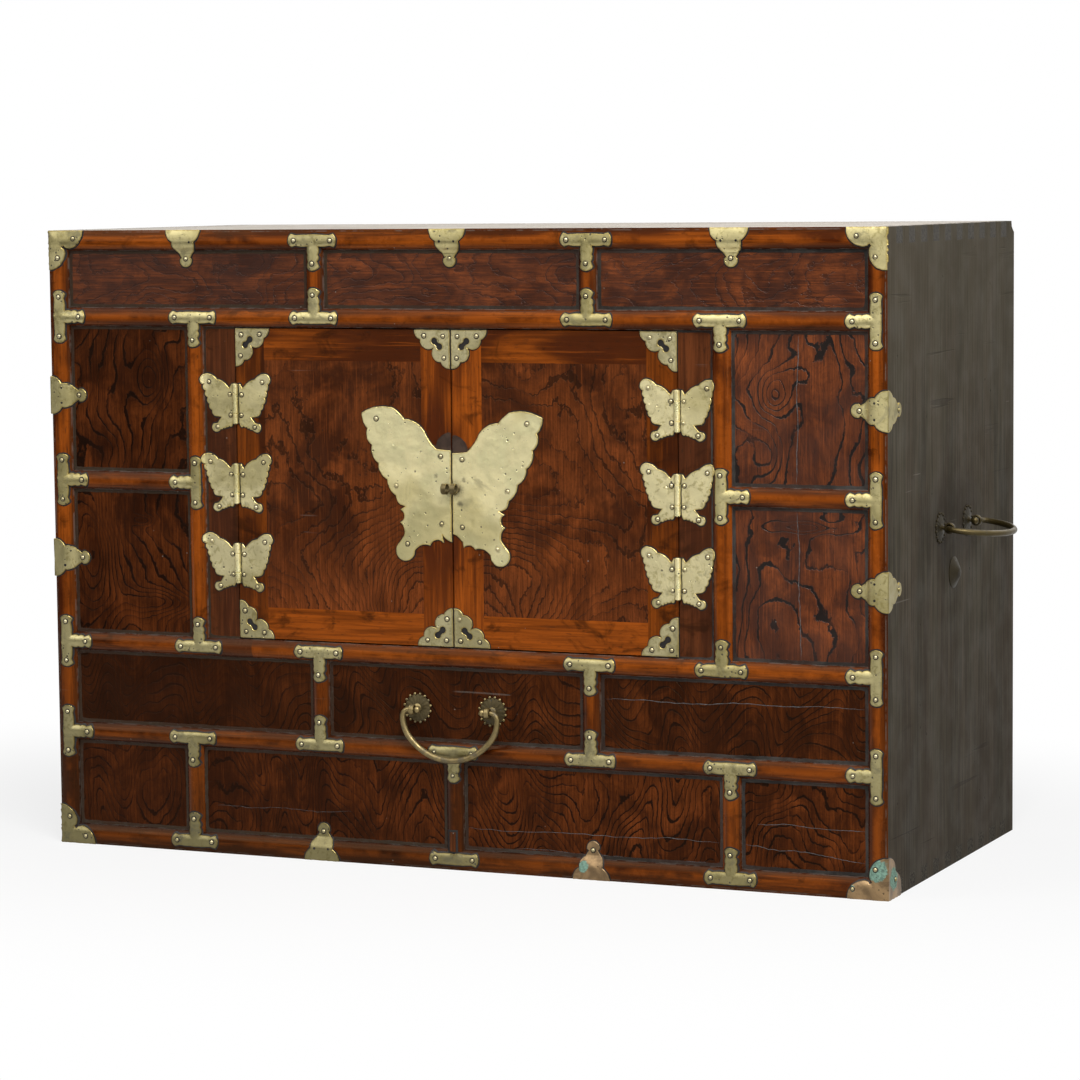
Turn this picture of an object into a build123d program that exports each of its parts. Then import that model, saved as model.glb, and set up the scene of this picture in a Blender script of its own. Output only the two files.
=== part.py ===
from build123d import *
from math import atan2, cos, hypot, pi, sin
import os

# One section of a Korean stacking chest: a frame-and-panel front with a pair of side-hung doors,
# four boards finger-jointed at their corners, and cut sheet-brass fittings.
# The origin is the middle of the base.  +X is to the right, +Y to the back, +Z up.
# Sizes are in millimetres.

# overall size
width = 850.0
depth = 390.0
height = 598.0
usual_height = 598.0            # height that the rows and fittings below are drawn for
row_scale = height / usual_height

# boards of the case
side_board = 18.0
end_board = 15.0                # top and bottom boards
back_board = 8.0
back_planks = 3
plank_gap = 0.4
back_lap = 8.0                  # how far the back runs into the boards round it
fingers = 10                    # fingers on each end of the top and bottom boards
finger_front = 26.0             # where the fingers begin, behind the front
chip_long = 9.0                 # chipped top back corner of the right side board
chip_high = 11.0
chip_deep = 7.0

# members of the front frame
outer_width = 19.5              # face width of the four outer members
member_width = 18.0             # face width of the inner members
member_depth = side_board + 4.0
crown = 5.0                     # fall of a rounded face from its crown to a panel's edge
arris_drop = 1.3                # fall of an outer member's face from its crown to its outer arris
mitre_deep = 8.0                # depth of the V mitres; tenons lie behind them
tenon_half = 4.0
tenon_thick = 4.0
tenon_long = 5.0
tenon_back = 0.5                # tenon behind the V mitre
joint_play = 0.1

# rows of the front, clear heights from the base up; the door row takes the rest
foot_row = 82.5 * row_scale
lower_row = 70.5 * row_scale
top_row = 54.5 * row_scale
side_column = 128.5             # clear width of the panels beside the posts
row_stile_x = 139.0             # short stiles of the top and lower rows, from the middle
foot_stile_x = 276.0            # outer short stiles of the foot row, from the middle

# panels
panel_recess = 6.5              # panel face behind the crowns
panel_thick = 8.0
tongue = 4.0                    # how far a panel runs into its grooves
tongue_set = 2.0                # tongue behind the panel's face
tongue_thick = 4.0
groove_play = 0.3               # room past the end of a tongue

# doors
hinge_strip = 33.7              # from the hinge line to the post
strip_thick = 12.0
door_recess = 6.0               # door face behind the crowns
stop_gap = 0.5
door_thick = member_depth - door_recess - stop_gap
door_band = 30.0                # width of a door's stiles and rails
door_panel_thick = 10.0
seam_gap = 1.6
edge_gap = 0.8
end_gap = 1.2
stop_lap = 6.0                  # how far a stop, fixed behind its rail, reaches behind a door
stop_width = 20.0
stop_thick = 8.0

# sheet-metal fittings
plate_thick = 1.2
lock_plate_thick = 1.5
bedding = 0.05                  # film between a plate and the wood
plate_slope = 3.0               # run of a plate's bend between a member and a panel
inner_flats = 5                 # flats that a plate is hammered to over a member's round face
outer_flats = 1.5               # the same from an outer member's crown line to its arris
edge_plate_long = 35.5
edge_plate_x = 277.0            # outer plates of the top edge, from the middle
edge_plate_drop = 80.0 * row_scale      # plates of the side edges, above and below the middle rail
base_plate_x = 139.0            # plates of the bottom edge, from the middle

# hinges
knuckle_radius = 2.6
pin_radius = 1.3
pin_play = 0.05
barrel_long = 38.0
middle_knuckle = 18.0
knuckle_gap = 0.3
hinge_inset = 71.5 * row_scale  # outer hinge centres in from the ends of the door

# lock
lock_half_drop = 2.5            # the right half of the lock plate sits lower
lock_eye_x = 4.5
lock_eye_rise = 0.5
lock_eye_hole = 3.4
lock_eye_wall = 1.8
lock_eye_gap = 0.3

# bail handles
eye_width = 5.0
eye_wall = 2.2
eye_play = 0.6
shank_half = 1.6
shank_play = 0.1
clinch_half = 9.0
clinch_thick = 1.5
rod_radius = 2.5
knob_radius = 3.6
knob_long = 3.0
knob_gap = 1.0                  # knob clear of its eye
rosette_radius = 14.5
rosette_lobes = 16
rosette_thick = 1.6
front_handle_half = 38.5        # eyes from the middle of the handle
front_handle_drop = 4.5         # pivot below the middle of the row
front_handle_stand = 12.5       # pivot in front of the wood
side_handle_half = 42.0
side_handle_z = 320.0 * row_scale
side_handle_stand = 9.5
bail_swell = 10.0               # how far a bail swells past its eyes
bail_reach = 46.5               # pivot to the middle of the rod
bail_bend = 6.5
bail_shoulder = 32.0
side_bail_droop = 7.0           # degrees below level
forged_sides = 8                # flats round a forged rod, ring or knuckle
strike_radius = 15.0
strike_crown = 4.0
strike_drop = 45.0              # middle of a strike plate below the pivot
strike_gap = 0.4

# lines that follow from the sizes above
front = -depth / 2
back = depth / 2
half_width = width / 2
half_member = member_width / 2
inner_edge = half_width - outer_width
crown_line = outer_width - half_member          # from an outer arris to the crown of its member
crown_radius = (half_member**2 + crown**2) / (2 * crown)
outer_radius = (crown_line**2 + arris_drop**2) / (2 * arris_drop)
lip_turn = atan2(half_member, crown_radius - crown)
arris_turn = atan2(crown_line, outer_radius - arris_drop)
stile_x = half_width - crown_line
lower_rail_z = outer_width + foot_row + half_member
sill_rail_z = lower_rail_z + lower_row + member_width
head_rail_z = height - outer_width - top_row - half_member
top_rail_z = height - crown_line
mid_rail_z = (sill_rail_z + head_rail_z) / 2
post_x = inner_edge - side_column - half_member
hinge_x = post_x - half_member - hinge_strip
panel_face = front + panel_recess
tongue_y = panel_face + tongue_set
door_face = front + door_recess
door_back = door_face + door_thick
door_low = sill_rail_z + half_member + end_gap
door_high = head_rail_z - half_member - end_gap
door_inner = seam_gap / 2
door_outer = hinge_x - edge_gap / 2
hinge_y = door_face - bedding - knuckle_radius
hinge_zs = (door_low + hinge_inset, mid_rail_z, door_high - hinge_inset)
lock_z = mid_rail_z + lock_eye_rise
front_handle_z = (lower_rail_z + sill_rail_z) / 2 - front_handle_drop
row_stiles = (-row_stile_x, row_stile_x)
foot_stiles = (-foot_stile_x, 0.0, foot_stile_x)


# ---------------------------------------------------------------- helpers

def face_from(points):
    """Face whose outline runs anticlockwise through (x, y, rise); rise bulges the next stretch out."""
    edges = []
    for here, there in zip(points, points[1:] + points[:1]):
        x0, y0, rise = here
        x1, y1 = there[:2]
        if rise == 0:
            edges.append(Line((x0, y0), (x1, y1)))
        else:
            chord = hypot(x1 - x0, y1 - y0)
            middle = (
                (x0 + x1) / 2 + rise * (y1 - y0) / chord,
                (y0 + y1) / 2 - rise * (x1 - x0) / chord,
            )
            edges.append(ThreePointArc((x0, y0), middle, (x1, y1)))
    return make_face(edges)


def polygon(points):
    return face_from([(x, y, 0) for x, y in points])


def mirrored(half, closing_rise=0):
    """Closed outline from its lower half, mirrored in the line y = 0."""
    upper = []
    for index in reversed(range(len(half))):
        x, y, _ = half[index]
        rise = half[index - 1][2] if index else closing_rise
        upper.append((x, -y, rise))
    return half + upper


def twinned(half):
    """Closed outline from its half below the diagonal y = x, whose two ends lie on the diagonal."""
    above = [(half[i][1], half[i][0], half[i - 1][2]) for i in reversed(range(1, len(half)))]
    return half[:-1] + above


def standing(face, y_front, y_back):
    """Solid with a front elevation, between two depths."""
    plane = Plane(origin=(0, y_front, 0), x_dir=(1, 0, 0), z_dir=(0, -1, 0))
    return extrude(plane * face, amount=y_back - y_front, dir=(0, 1, 0))


def block(low, high):
    """Box between two opposite corners."""
    centre = [(a + b) / 2 for a, b in zip(low, high)]
    sides = [b - a for a, b in zip(low, high)]
    return Pos(*centre) * Box(*sides)


def across(piece):
    """The same piece on the other side of the chest."""
    return mirror(piece, about=Plane.YZ)


def upended(piece):
    """The same piece at the other end of the height."""
    return Pos(0, 0, height) * mirror(piece, about=Plane.XY)


def group(pieces):
    return Compound(children=[solid for piece in pieces for solid in piece.solids()])


def save(name, *pieces):
    solids = [solid for piece in pieces for solid in piece.solids()]
    export_step(solids[0] if len(solids) == 1 else Compound(children=solids), f"parts/{name}.step")


# ---------------------------------------------------------------- rounded faces
# In a section, x runs across from the crown line and y back from the crown.

def outer_arc():
    """Flatter outer half of an outer member's face, from its arris to the crown line."""
    turn = atan2(crown_line, outer_radius - arris_drop) / 2
    middle = (-outer_radius * sin(turn), outer_radius - outer_radius * cos(turn))
    return ThreePointArc((-crown_line, arris_drop), middle, (0, 0))


def inner_section():
    """Section of an inner member."""
    w = half_member
    face = ThreePointArc((-w, crown), (0, 0), (w, crown))
    return make_face([face] + Polyline((w, crown), (w, member_depth), (-w, member_depth), (-w, crown)).edges())


def outer_section(board):
    """Section of an outer member, mitred behind to a board of the case; its outer arris at left."""
    turn = lip_turn / 2
    middle = (crown_radius * sin(turn), crown_radius - crown_radius * cos(turn))
    face = ThreePointArc((0, 0), middle, (half_member, crown))
    heel = board - crown_line
    sides = Polyline(
        (half_member, crown),
        (half_member, member_depth),
        (heel, member_depth),
        (heel, arris_drop + board),
        (-crown_line, arris_drop),
    )
    return make_face([outer_arc(), face] + sides.edges())


def bar(section, length):
    """Length of a section along Z, centred on the origin."""
    return extrude(Pos(0, 0, -length / 2) * section, amount=length, dir=(0, 0, 1))


# Sheet metal is hammered over a round face in flats that touch it.

def flats(radius, turn, count, grow):
    """Corners of the flats round a face, from its crown to the turn, lifted by grow."""
    step = turn / count
    reach = (radius + grow) / cos(step / 2)
    turns = [(index + 0.5) * step for index in range(int(count + 0.5))]
    return [(reach * sin(angle), radius - reach * cos(angle)) for angle in turns]


def inner_side(grow, side=1):
    points = flats(crown_radius, lip_turn, inner_flats / 2, grow)
    return [(side * x, y) for x, y in points]


def outer_side(grow):
    return [(-x, y) for x, y in flats(outer_radius, arris_turn, outer_flats, grow)]


def across_inner(grow):
    """Flats over an inner member, from side to side."""
    return inner_side(grow, -1)[::-1] + inner_side(grow)


def across_outer(grow):
    """Flats over an outer member, from its outer arris inwards."""
    return outer_side(grow)[::-1] + inner_side(grow)


def ground(profile, grow):
    """Section of all that lies under a profile."""
    points = profile(grow)
    floor = [(points[-1][0], member_depth), (points[0][0], member_depth)]
    return make_face(Polyline(*points, *floor, points[0]).edges())


def sheet(profile):
    """Section of a plate bedded on a profile; profile(grow) gives its points from end to end."""
    under = profile(bedding)
    over = profile(bedding + plate_thick)
    return make_face(Polyline(*under, *over[::-1], under[0]).edges())


def edge_profile(grow):
    """Outer member's face and the slope down to its panel."""
    shelf = panel_recess - grow
    return across_outer(grow) + [(half_member + plate_slope, shelf), (edge_plate_long, shelf)]


def wrap_profile(grow):
    """The same, with the side board behind the arris."""
    side = -crown_line - grow
    on_front = edge_profile(grow)
    return [(side, edge_plate_long + 2 * arris_drop), (side, on_front[0][1])] + on_front


def strip_profile(grow):
    """Hinge strip and near half of the post, with x from the hinge line."""
    post = hinge_strip + half_member
    level = door_recess - grow
    rise = [(post + x, y) for x, y in inner_side(grow, -1)[::-1]]
    return [(0, level), (hinge_strip - plate_slope, level)] + rise


# ---------------------------------------------------------------- frame members

def branch(length):
    """Inner member along Z with V tips at both ends and a stub tenon behind each."""
    w = half_member
    tip = length / 2
    shoulder = tip - w
    outline = polygon([(0, -tip), (w, -shoulder), (w, shoulder), (0, tip), (-w, shoulder), (-w, -shoulder)])
    front_layer = standing(outline, 0, mitre_deep)
    back_layer = block((-w, mitre_deep, -shoulder), (w, member_depth, shoulder))
    y = mitre_deep + tenon_back
    reach = shoulder + tenon_long
    tenons = block((-tenon_half, y, -reach), (tenon_half, y + tenon_thick, reach))
    return (bar(inner_section(), length) & (front_layer + back_layer)) + tenons


def housing(length):
    """What a branch needs cut from the members at its ends."""
    w = half_member
    tip = length / 2
    out = w + 1
    notch = standing(polygon([(0, -tip), (out, out - tip), (-out, out - tip)]), -1, mitre_deep)
    half = tenon_half + joint_play
    y = mitre_deep + tenon_back
    mortise = block(
        (-half, y - joint_play, w - tip - tenon_long - joint_play),
        (half, y + tenon_thick + joint_play, out - tip),
    )
    end = notch + mortise
    return [end, mirror(end, about=Plane.XY)]


def fitted(place, length):
    """A branch and its housings in place."""
    return place * branch(length), [place * cut for cut in housing(length)]


def upright(x, z_low, z_high):
    return fitted(Pos(x, front, (z_low + z_high) / 2), z_high - z_low)


def level(z, x_low, x_high):
    return fitted(Pos((x_low + x_high) / 2, front, z) * Rot(0, 90, 0), x_high - x_low)


def outer_stile():
    """Left stile, mitred to the top and bottom rails."""
    blank = Pos(-stile_x, front, height / 2) * bar(outer_section(side_board), height)
    outline = polygon([
        (-half_width, 0),
        (-inner_edge, outer_width),
        (-inner_edge, height - outer_width),
        (-half_width, height),
    ])
    return blank & standing(outline, front, front + member_depth)


def between_sides(piece):
    """A rail kept clear of the side boards."""
    return piece - left_side - across(left_side)


def outer_rail():
    """Bottom rail, mitred to the stiles and clear of the side boards."""
    blank = Pos(0, front, crown_line) * Rot(0, -90, 0) * bar(outer_section(end_board), width)
    outline = polygon([
        (-half_width, 0),
        (half_width, 0),
        (inner_edge, outer_width),
        (-inner_edge, outer_width),
    ])
    return between_sides(blank & standing(outline, front, front + member_depth))


# ---------------------------------------------------------------- panels

def bays(stiles):
    """Clear stretches of x between the outer stiles and the stiles given."""
    starts = [-inner_edge] + [x + half_member for x in stiles]
    ends = [x - half_member for x in stiles] + [inner_edge]
    return list(zip(starts, ends))


def panel(bay, row):
    """Panel of a bay (x from, x to) and row (z from, z to)."""
    body = block((bay[0], panel_face, row[0]), (bay[1], panel_face + panel_thick, row[1]))
    return body + tongues(bay, row, tongue)


def tongues(bay, row, lap, play=0.0):
    """Tongue round a panel, or with play the groove for it."""
    return block(
        (bay[0] - lap, tongue_y - play, row[0] - lap),
        (bay[1] + lap, tongue_y + tongue_thick + play, row[1] + lap),
    )


def groove(bay, row):
    return tongues(bay, row, tongue + groove_play, joint_play / 2)


def hinge_strip_board():
    """Right hinge strip, tongued into the post and both rails."""
    x0 = hinge_x + edge_gap / 2
    x1 = post_x - half_member
    z0, z1 = door_row
    board = block((x0, door_face, z0), (x1, door_face + strip_thick, z1))
    tongue_board = block(
        (x0, tongue_y, z0 - tongue), (x1 + tongue, tongue_y + tongue_thick, z1 + tongue)
    )
    return board + tongue_board


# ---------------------------------------------------------------- plates

BAR_END = [(-5.4, -22.3, 0), (-3.2, -25.7, 0), (3.2, -25.7, 0), (5.9, -22.3, 0)]
TEE = BAR_END + [(5.4, -5.4, 0), (20.8, -4.9, 0), (25.2, -6.2, 0), (28.6, -2.6, 0)]
CORNER_LEG = [
    (0.0, 0.0, 0), (38.0, 0.0, 0), (37.0, 7.0, 0), (31.0, 14.2, 0), (22.0, 17.5, 0), (16.5, 14.5, 0),
    (15.5, 15.5, 0),
]
CORNER_FOLD = [
    (0.0, 0.0, 0), (34.0, 0.0, 0), (33.0, 10.0, 0), (26.5, 20.5, 0), (17.5, 25.0, 0), (12.5, 35.0, 0),
    (0.0, 38.0, 0),
]
TREFOIL = [
    (0.0, -18.3, 0), (7.0, -17.0, 0), (11.5, -11.5, 0), (17.5, -11.3, 0), (22.0, -7.5, 0), (26.5, -4.5, 0),
    (28.0, -6.2, 0), (33.5, -5.0, 0), (edge_plate_long, -1.5, 0),
]
DOOR_CORNER = [
    (0.0, 0.0, 0), (36.0, 0.0, 0), (34.6, 5.4, 0), (30.0, 9.0, 0), (27.0, 16.0, 0), (20.5, 18.3, 0),
    (16.5, 16.5, 0),
]
door_corner_holes = ((15.4, 10.6), (10.6, 15.4))
door_corner_hole_radius = 3.3

# wing of a small butterfly hinge: x away from the hinge line, y up from its middle
WING = [
    (0.0, -18.5, 0), (3.5, -18.5, 0), (4.5, -22.0, 0), (7.5, -19.7, 0), (11.5, -22.5, 0), (16.0, -24.0, 0),
    (19.5, -27.0, 0), (25.0, -27.0, 0), (27.0, -22.5, 0), (24.5, -19.3, 0), (20.0, -18.5, 0),
    (16.0, -13.0, 0), (22.0, -12.2, 0), (26.5, -8.5, 0), (27.5, -3.5, 0), (30.5, 0.0, 0), (31.0, 4.5, 0),
    (34.0, 9.0, 0), (33.5, 14.0, 0), (36.4, 19.0, 0), (36.4, 25.0, 0), (31.0, 28.5, 0), (25.0, 27.0, 0),
    (20.5, 23.2, 0), (14.0, 21.2, 0), (9.5, 17.0, 0), (7.0, 14.8, 0), (4.5, 18.5, 0), (0.0, 18.5, 0),
]

# half of the large butterfly: x from the seam, y up from the middle rail's line
LOCK_WHOLE = [(0.0, -52.0, 0), (6.0, -49.5, 0), (10.5, -45.0, 0), (9.0, -53.0, -3.9)]
LOCK_BROKEN = [(0.0, -42.0, 0), (5.0, -43.5, 0), (10.5, -49.0, 0), (11.5, -54.5, -3.0)]
LOCK_WING = [
    (23.0, -56.0, 0), (31.0, -55.0, 0), (37.0, -59.0, 0), (39.0, -61.0, 14.0), (54.5, -54.0, 0),
    (50.0, -48.0, -2.3), (53.5, -35.0, -4.0), (53.0, -23.0, 0), (48.0, -20.0, 0), (53.0, -18.5, 0),
    (57.0, -14.5, 0), (57.5, -10.0, 2.3), (66.5, 5.0, 2.6), (75.5, 20.0, 2.9), (82.0, 37.0, 2.9),
    (86.5, 52.5, 0), (90.5, 59.0, 0), (92.0, 67.0, 3.3), (59.0, 71.5, 0), (48.0, 61.5, 2.8),
    (28.0, 51.0, -1.4), (15.0, 34.0, 0), (0.0, 33.0, 0),
]
lock_plate_rise = 2.75          # middle line of the lock plate above the middle rail
long_enough = 80.0              # bar that a small plate is cut from


def plate(under, over, outline):
    """Plate between two grounds, with an elevation outline."""
    return (over - under) & standing(face_from(outline), -crown, member_depth)


def tee_ground(profile, grow):
    """Through member along Z with a branch to the right, lifted by grow."""
    through = bar(ground(profile, grow), long_enough)
    arm = Rot(0, 90, 0) * bar(ground(across_inner, grow), long_enough)
    return through + Pos(long_enough / 2, 0, 0) * arm


def tee_plate(profile, outline):
    under = tee_ground(profile, bedding)
    over = tee_ground(profile, bedding + plate_thick)
    return plate(under, over, mirrored(outline))


def fixed_on(x, z, turn, piece):
    """Puts a plate on the frame; turn swings its stem from the right towards the base."""
    return Pos(x, front, z) * Rot(0, turn, 0) * piece


def corner_plate():
    """Plate for the lower left corner, its outer corner at the origin."""
    laid = Pos(0, 0, crown_line) * Rot(0, -90, 0) * bar(sheet(across_outer), long_enough)
    leg = laid & standing(face_from(CORNER_LEG), -crown, member_depth)
    return leg + mirror(leg, about=Plane(origin=(0, 0, 0), z_dir=(1, 0, -1)))


def edge_plate():
    """Three-lobed plate on an outer edge, its edge at left."""
    outline = [(x - crown_line, y, rise) for x, y, rise in mirrored(TREFOIL)]
    return bar(sheet(edge_profile), long_enough) & standing(face_from(outline), -crown, member_depth)


def side_room(outline, z_low, z_high):
    """Room for what a plate folds over the arris and onto the side board."""
    reach = 2 * plate_thick
    fold = block(
        (-crown_line - reach, arris_drop - reach, z_low), (-crown_line, arris_drop, z_high)
    )
    on_side = [(x + arris_drop, y, rise) for x, y, rise in outline]
    side_plane = Plane(origin=(-crown_line - reach, 0, 0), x_dir=(0, 1, 0), z_dir=(1, 0, 0))
    return fold + extrude(side_plane * face_from(on_side), amount=reach, dir=(1, 0, 0))


def wrapped_edge_plate():
    """The same, folded over the arris onto the side board."""
    outline = mirrored(TREFOIL)
    on_front = [(x - crown_line, y, rise) for x, y, rise in outline]
    half = -TREFOIL[0][1]
    front_prism = standing(face_from(on_front), -crown, member_depth)
    return bar(sheet(wrap_profile), long_enough) & (front_prism + side_room(outline, -half, half))


def wrapped_corner_plate():
    """Corner plate folded over the arris onto the side board."""
    fold = bar(sheet(wrap_profile), 2 * long_enough) & side_room(CORNER_FOLD, 0, CORNER_FOLD[-1][1])
    return corner_plate() + Pos(crown_line, 0, 0) * fold


def door_corner_plate():
    """Pierced plate with its square corner at the origin."""
    face = face_from(twinned(DOOR_CORNER))
    for x, z in door_corner_holes:
        face -= Pos(x, z) * RegularPolygon(door_corner_hole_radius, forged_sides)
    return standing(face, door_face - bedding - plate_thick, door_face - bedding)


# ---------------------------------------------------------------- hinges

def knuckle(z_low, z_high):
    hole = RegularPolygon(pin_radius + pin_play, forged_sides, major_radius=False)
    ring = RegularPolygon(knuckle_radius, forged_sides) - hole
    return extrude(Pos(0, 0, z_low) * ring, amount=z_high - z_low, dir=(0, 0, 1))


def clear_of(z_low, z_high):
    """Room round another leaf's knuckle."""
    radius = knuckle_radius + knuckle_gap
    z0 = z_low - knuckle_gap
    z1 = z_high + knuckle_gap
    return block((-radius, -radius, z0), (radius, radius + 1, z1))


def end_knuckles():
    near = middle_knuckle / 2 + knuckle_gap
    far = barrel_long / 2
    return ((-far, -near), (near, far))


def moving_wing():
    """Door's leaf, hinge line at the origin, wing to the left, with the middle knuckle."""
    outline = face_from(WING)
    y = knuckle_radius
    leaf = mirror(standing(outline, y - plate_thick, y), about=Plane.YZ)
    for z0, z1 in end_knuckles():
        leaf -= clear_of(z0, z1)
    half = middle_knuckle / 2
    return leaf - pin_room() + knuckle(-half, half)


def fixed_wing():
    """Frame's leaf, wing to the right and bent up onto the post, with the end knuckles."""
    surface = knuckle_radius + bedding - door_recess
    leaf = Pos(0, surface, 0) * bar(sheet(strip_profile), long_enough)
    leaf = leaf & standing(face_from(WING), -2 * door_recess, knuckle_radius)
    half = middle_knuckle / 2
    leaf = leaf - clear_of(-half, half) - pin_room()
    for z0, z1 in end_knuckles():
        leaf += knuckle(z0, z1)
    return leaf


def pin_room():
    hole = RegularPolygon(pin_radius + pin_play, forged_sides, major_radius=False)
    return bar(hole, barrel_long + 2)


def at_hinges(piece, side=1):
    """Copies of a right-hand hinge piece at the three hinges, side -1 for the left."""
    pieces = [Pos(hinge_x, hinge_y, z) * piece for z in hinge_zs]
    return pieces if side == 1 else [across(each) for each in pieces]


# ---------------------------------------------------------------- doors

door_row = (sill_rail_z + half_member, head_rail_z - half_member)
door_bay = (door_inner + door_band, door_outer - door_band)
door_field = (door_low + door_band, door_high - door_band)


def door_rail(z0, z1):
    """Rail between the door's stiles, with a tenon at each end."""
    x0, x1 = door_bay
    board = block((x0, door_face, z0), (x1, door_back, z1))
    return board + door_tenons(z0, z1)


def door_tenons(z0, z1, play=0.0):
    x0, x1 = door_bay
    lap = door_band / 2 + play
    shoulder = tongue + tenon_half - play
    y0 = tongue_y - play
    return block((x0 - lap, y0, z0 + shoulder), (x1 + lap, tongue_y + tenon_thick + play, z1 - shoulder))


def door_pieces():
    """Stiles, rails and panel of the right door."""
    x0, x1 = door_bay
    z0, z1 = door_field
    rails = [door_rail(door_low, z0), door_rail(z1, door_high)]
    mortises = [door_tenons(door_low, z0, joint_play), door_tenons(z1, door_high, joint_play)]
    stiles = [
        block((door_inner, door_face, door_low), (x0, door_back, door_high)),
        block((x1, door_face, door_low), (door_outer, door_back, door_high)),
    ]
    cut = groove(door_bay, door_field)
    stiles = [stile - mortises[0] - mortises[1] - cut for stile in stiles]
    rails = [rail - cut for rail in rails]
    field = block((x0, door_face, z0), (x1, door_face + door_panel_thick, z1))
    return stiles, rails, field + tongues(door_bay, door_field, tongue)


def door_corner_plates():
    """Four plates of the right door."""
    plate = door_corner_plate()
    other = mirror(plate, about=Plane.YZ)
    lower = [Pos(door_inner, 0, door_low) * plate, Pos(door_outer, 0, door_low) * other]
    upper = [
        Pos(door_inner, 0, door_high) * mirror(plate, about=Plane.XY),
        Pos(door_outer, 0, door_high) * mirror(other, about=Plane.XY),
    ]
    return lower + upper


def lock_half(start):
    """Half of the lock plate, drawn to the right of the seam."""
    face = face_from(start + LOCK_WING)
    plate = standing(face, door_face - bedding - lock_plate_thick, door_face - bedding)
    plate = Pos(0, 0, mid_rail_z + lock_plate_rise) * plate
    return plate - block((-1, front, door_low), (door_inner, door_back, door_high))


def lock_eye():
    """Staple on the right door: a ring in front of the plate and two clinched legs behind the door."""
    outer = lock_eye_hole + lock_eye_wall
    plate_front = door_face - bedding - lock_plate_thick
    place = Pos(lock_eye_x, plate_front - lock_eye_gap - outer, lock_z)
    stand = door_face - place.position.Y
    return place * eye(lock_eye_hole, lock_eye_wall, stand, door_thick)


# ---------------------------------------------------------------- handles
# The wood's face is y = 0, outwards is -Y, and the pivot runs along X.

def eye(hole, wall, stand, wood):
    """Ring about the pivot, and a shank through the wood with two legs clinched behind it."""
    section = RegularPolygon(hole + wall, forged_sides) - RegularPolygon(hole, forged_sides, major_radius=False)
    ring = Rot(0, 90, 0) * bar(section, eye_width)
    s = shank_half
    shank = block((-s, hole + wall / 2, -s), (s, stand + wood, s))
    legs = block((-s, stand + wood, -clinch_half), (s, stand + wood + clinch_thick, clinch_half))
    return ring + shank + legs


def shank_hole(wood):
    """Hole for a shank, from well in front of the wood to its back."""
    s = shank_half + shank_play
    return block((-s, -eye_wall, -s), (s, wood, s))


def rosette():
    disc = RegularPolygon(rosette_radius, rosette_lobes)
    return standing(disc, -bedding - rosette_thick, -bedding) - shank_hole(bedding)


def strike_plate():
    """Raised plate that a hanging bail just clears."""
    rise = side_handle_stand - rod_radius - strike_gap - bedding
    return Pos(0, -bedding - rise / 2, 0) * Rot(90, 0, 0) * Cone(strike_radius, strike_crown, rise)


def rod_section(radius):
    """Flats toward the front, the back and the ends of the pivot."""
    return RegularPolygon(radius, forged_sides, rotation=180 / forged_sides)


def bail(half):
    """Bail hanging from the pivot, ends turned in through the eyes."""
    a = half + bail_swell
    b = bail_reach - bail_bend
    r = bail_shoulder
    sweep_radius = ((a - r)**2 + b**2 - r**2) / (2 * (b - r))
    start = half - eye_width / 2 - knob_gap - knob_long
    bend = a - bail_bend
    slant = bail_bend * sin(pi / 4)
    hub = (a - r, -bail_bend)
    centre_z = sweep_radius - bail_reach
    turn = atan2(hub[0], centre_z - hub[1])
    meet = (sweep_radius * sin(turn), centre_z - sweep_radius * cos(turn))
    half_turn = (turn + pi / 2) / 2
    shoulder = (hub[0] + r * sin(half_turn), hub[1] - r * cos(half_turn))

    def at(x, z):
        return (x, 0, z)

    right = [
        Line(at(start, 0), at(bend, 0)),
        ThreePointArc(at(bend, 0), at(bend + slant, slant - bail_bend), at(a, -bail_bend)),
        ThreePointArc(at(a, -bail_bend), at(*shoulder), at(*meet)),
    ]
    left = [
        ThreePointArc(at(-meet[0], meet[1]), at(-shoulder[0], shoulder[1]), at(-a, -bail_bend)),
        ThreePointArc(at(-a, -bail_bend), at(-bend - slant, slant - bail_bend), at(-bend, 0)),
        Line(at(-bend, 0), at(-start, 0)),
    ]
    foot = ThreePointArc(at(*meet), at(0, -bail_reach), at(-meet[0], meet[1]))
    path = Wire(right + [foot] + left)
    rod = sweep(Plane(origin=at(start, 0), z_dir=(1, 0, 0)) * rod_section(rod_radius), path=path)
    knob = Pos(start + knob_long / 2, 0, 0) * Rot(0, 90, 0) * Cylinder(knob_radius, knob_long)
    return rod + knob + mirror(knob, about=Plane.YZ)


def handle_eyes(half, stand, wood):
    piece = Pos(0, -stand, 0) * eye(rod_radius + eye_play, eye_wall, stand, wood)
    return [Pos(side * half, 0, 0) * piece for side in (-1, 1)]


def handle_holes(half, wood):
    return [Pos(side * half, 0, 0) * shank_hole(wood) for side in (-1, 1)]


def handle_rosettes(half):
    return [Pos(side * half, 0, 0) * rosette() for side in (-1, 1)]


# ---------------------------------------------------------------- the case

os.makedirs("parts", exist_ok=True)

front_layout = Pos(0, panel_face, front_handle_z)
right_layout = Pos(half_width, 0, side_handle_z) * Rot(0, 0, 90)

side_plan = polygon([
    (-half_width, front + arris_drop),
    (side_board - half_width, front + arris_drop + side_board),
    (side_board - half_width, back),
    (-half_width, back),
])
left_side = extrude(side_plan, amount=height, dir=(0, 0, 1))

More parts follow.
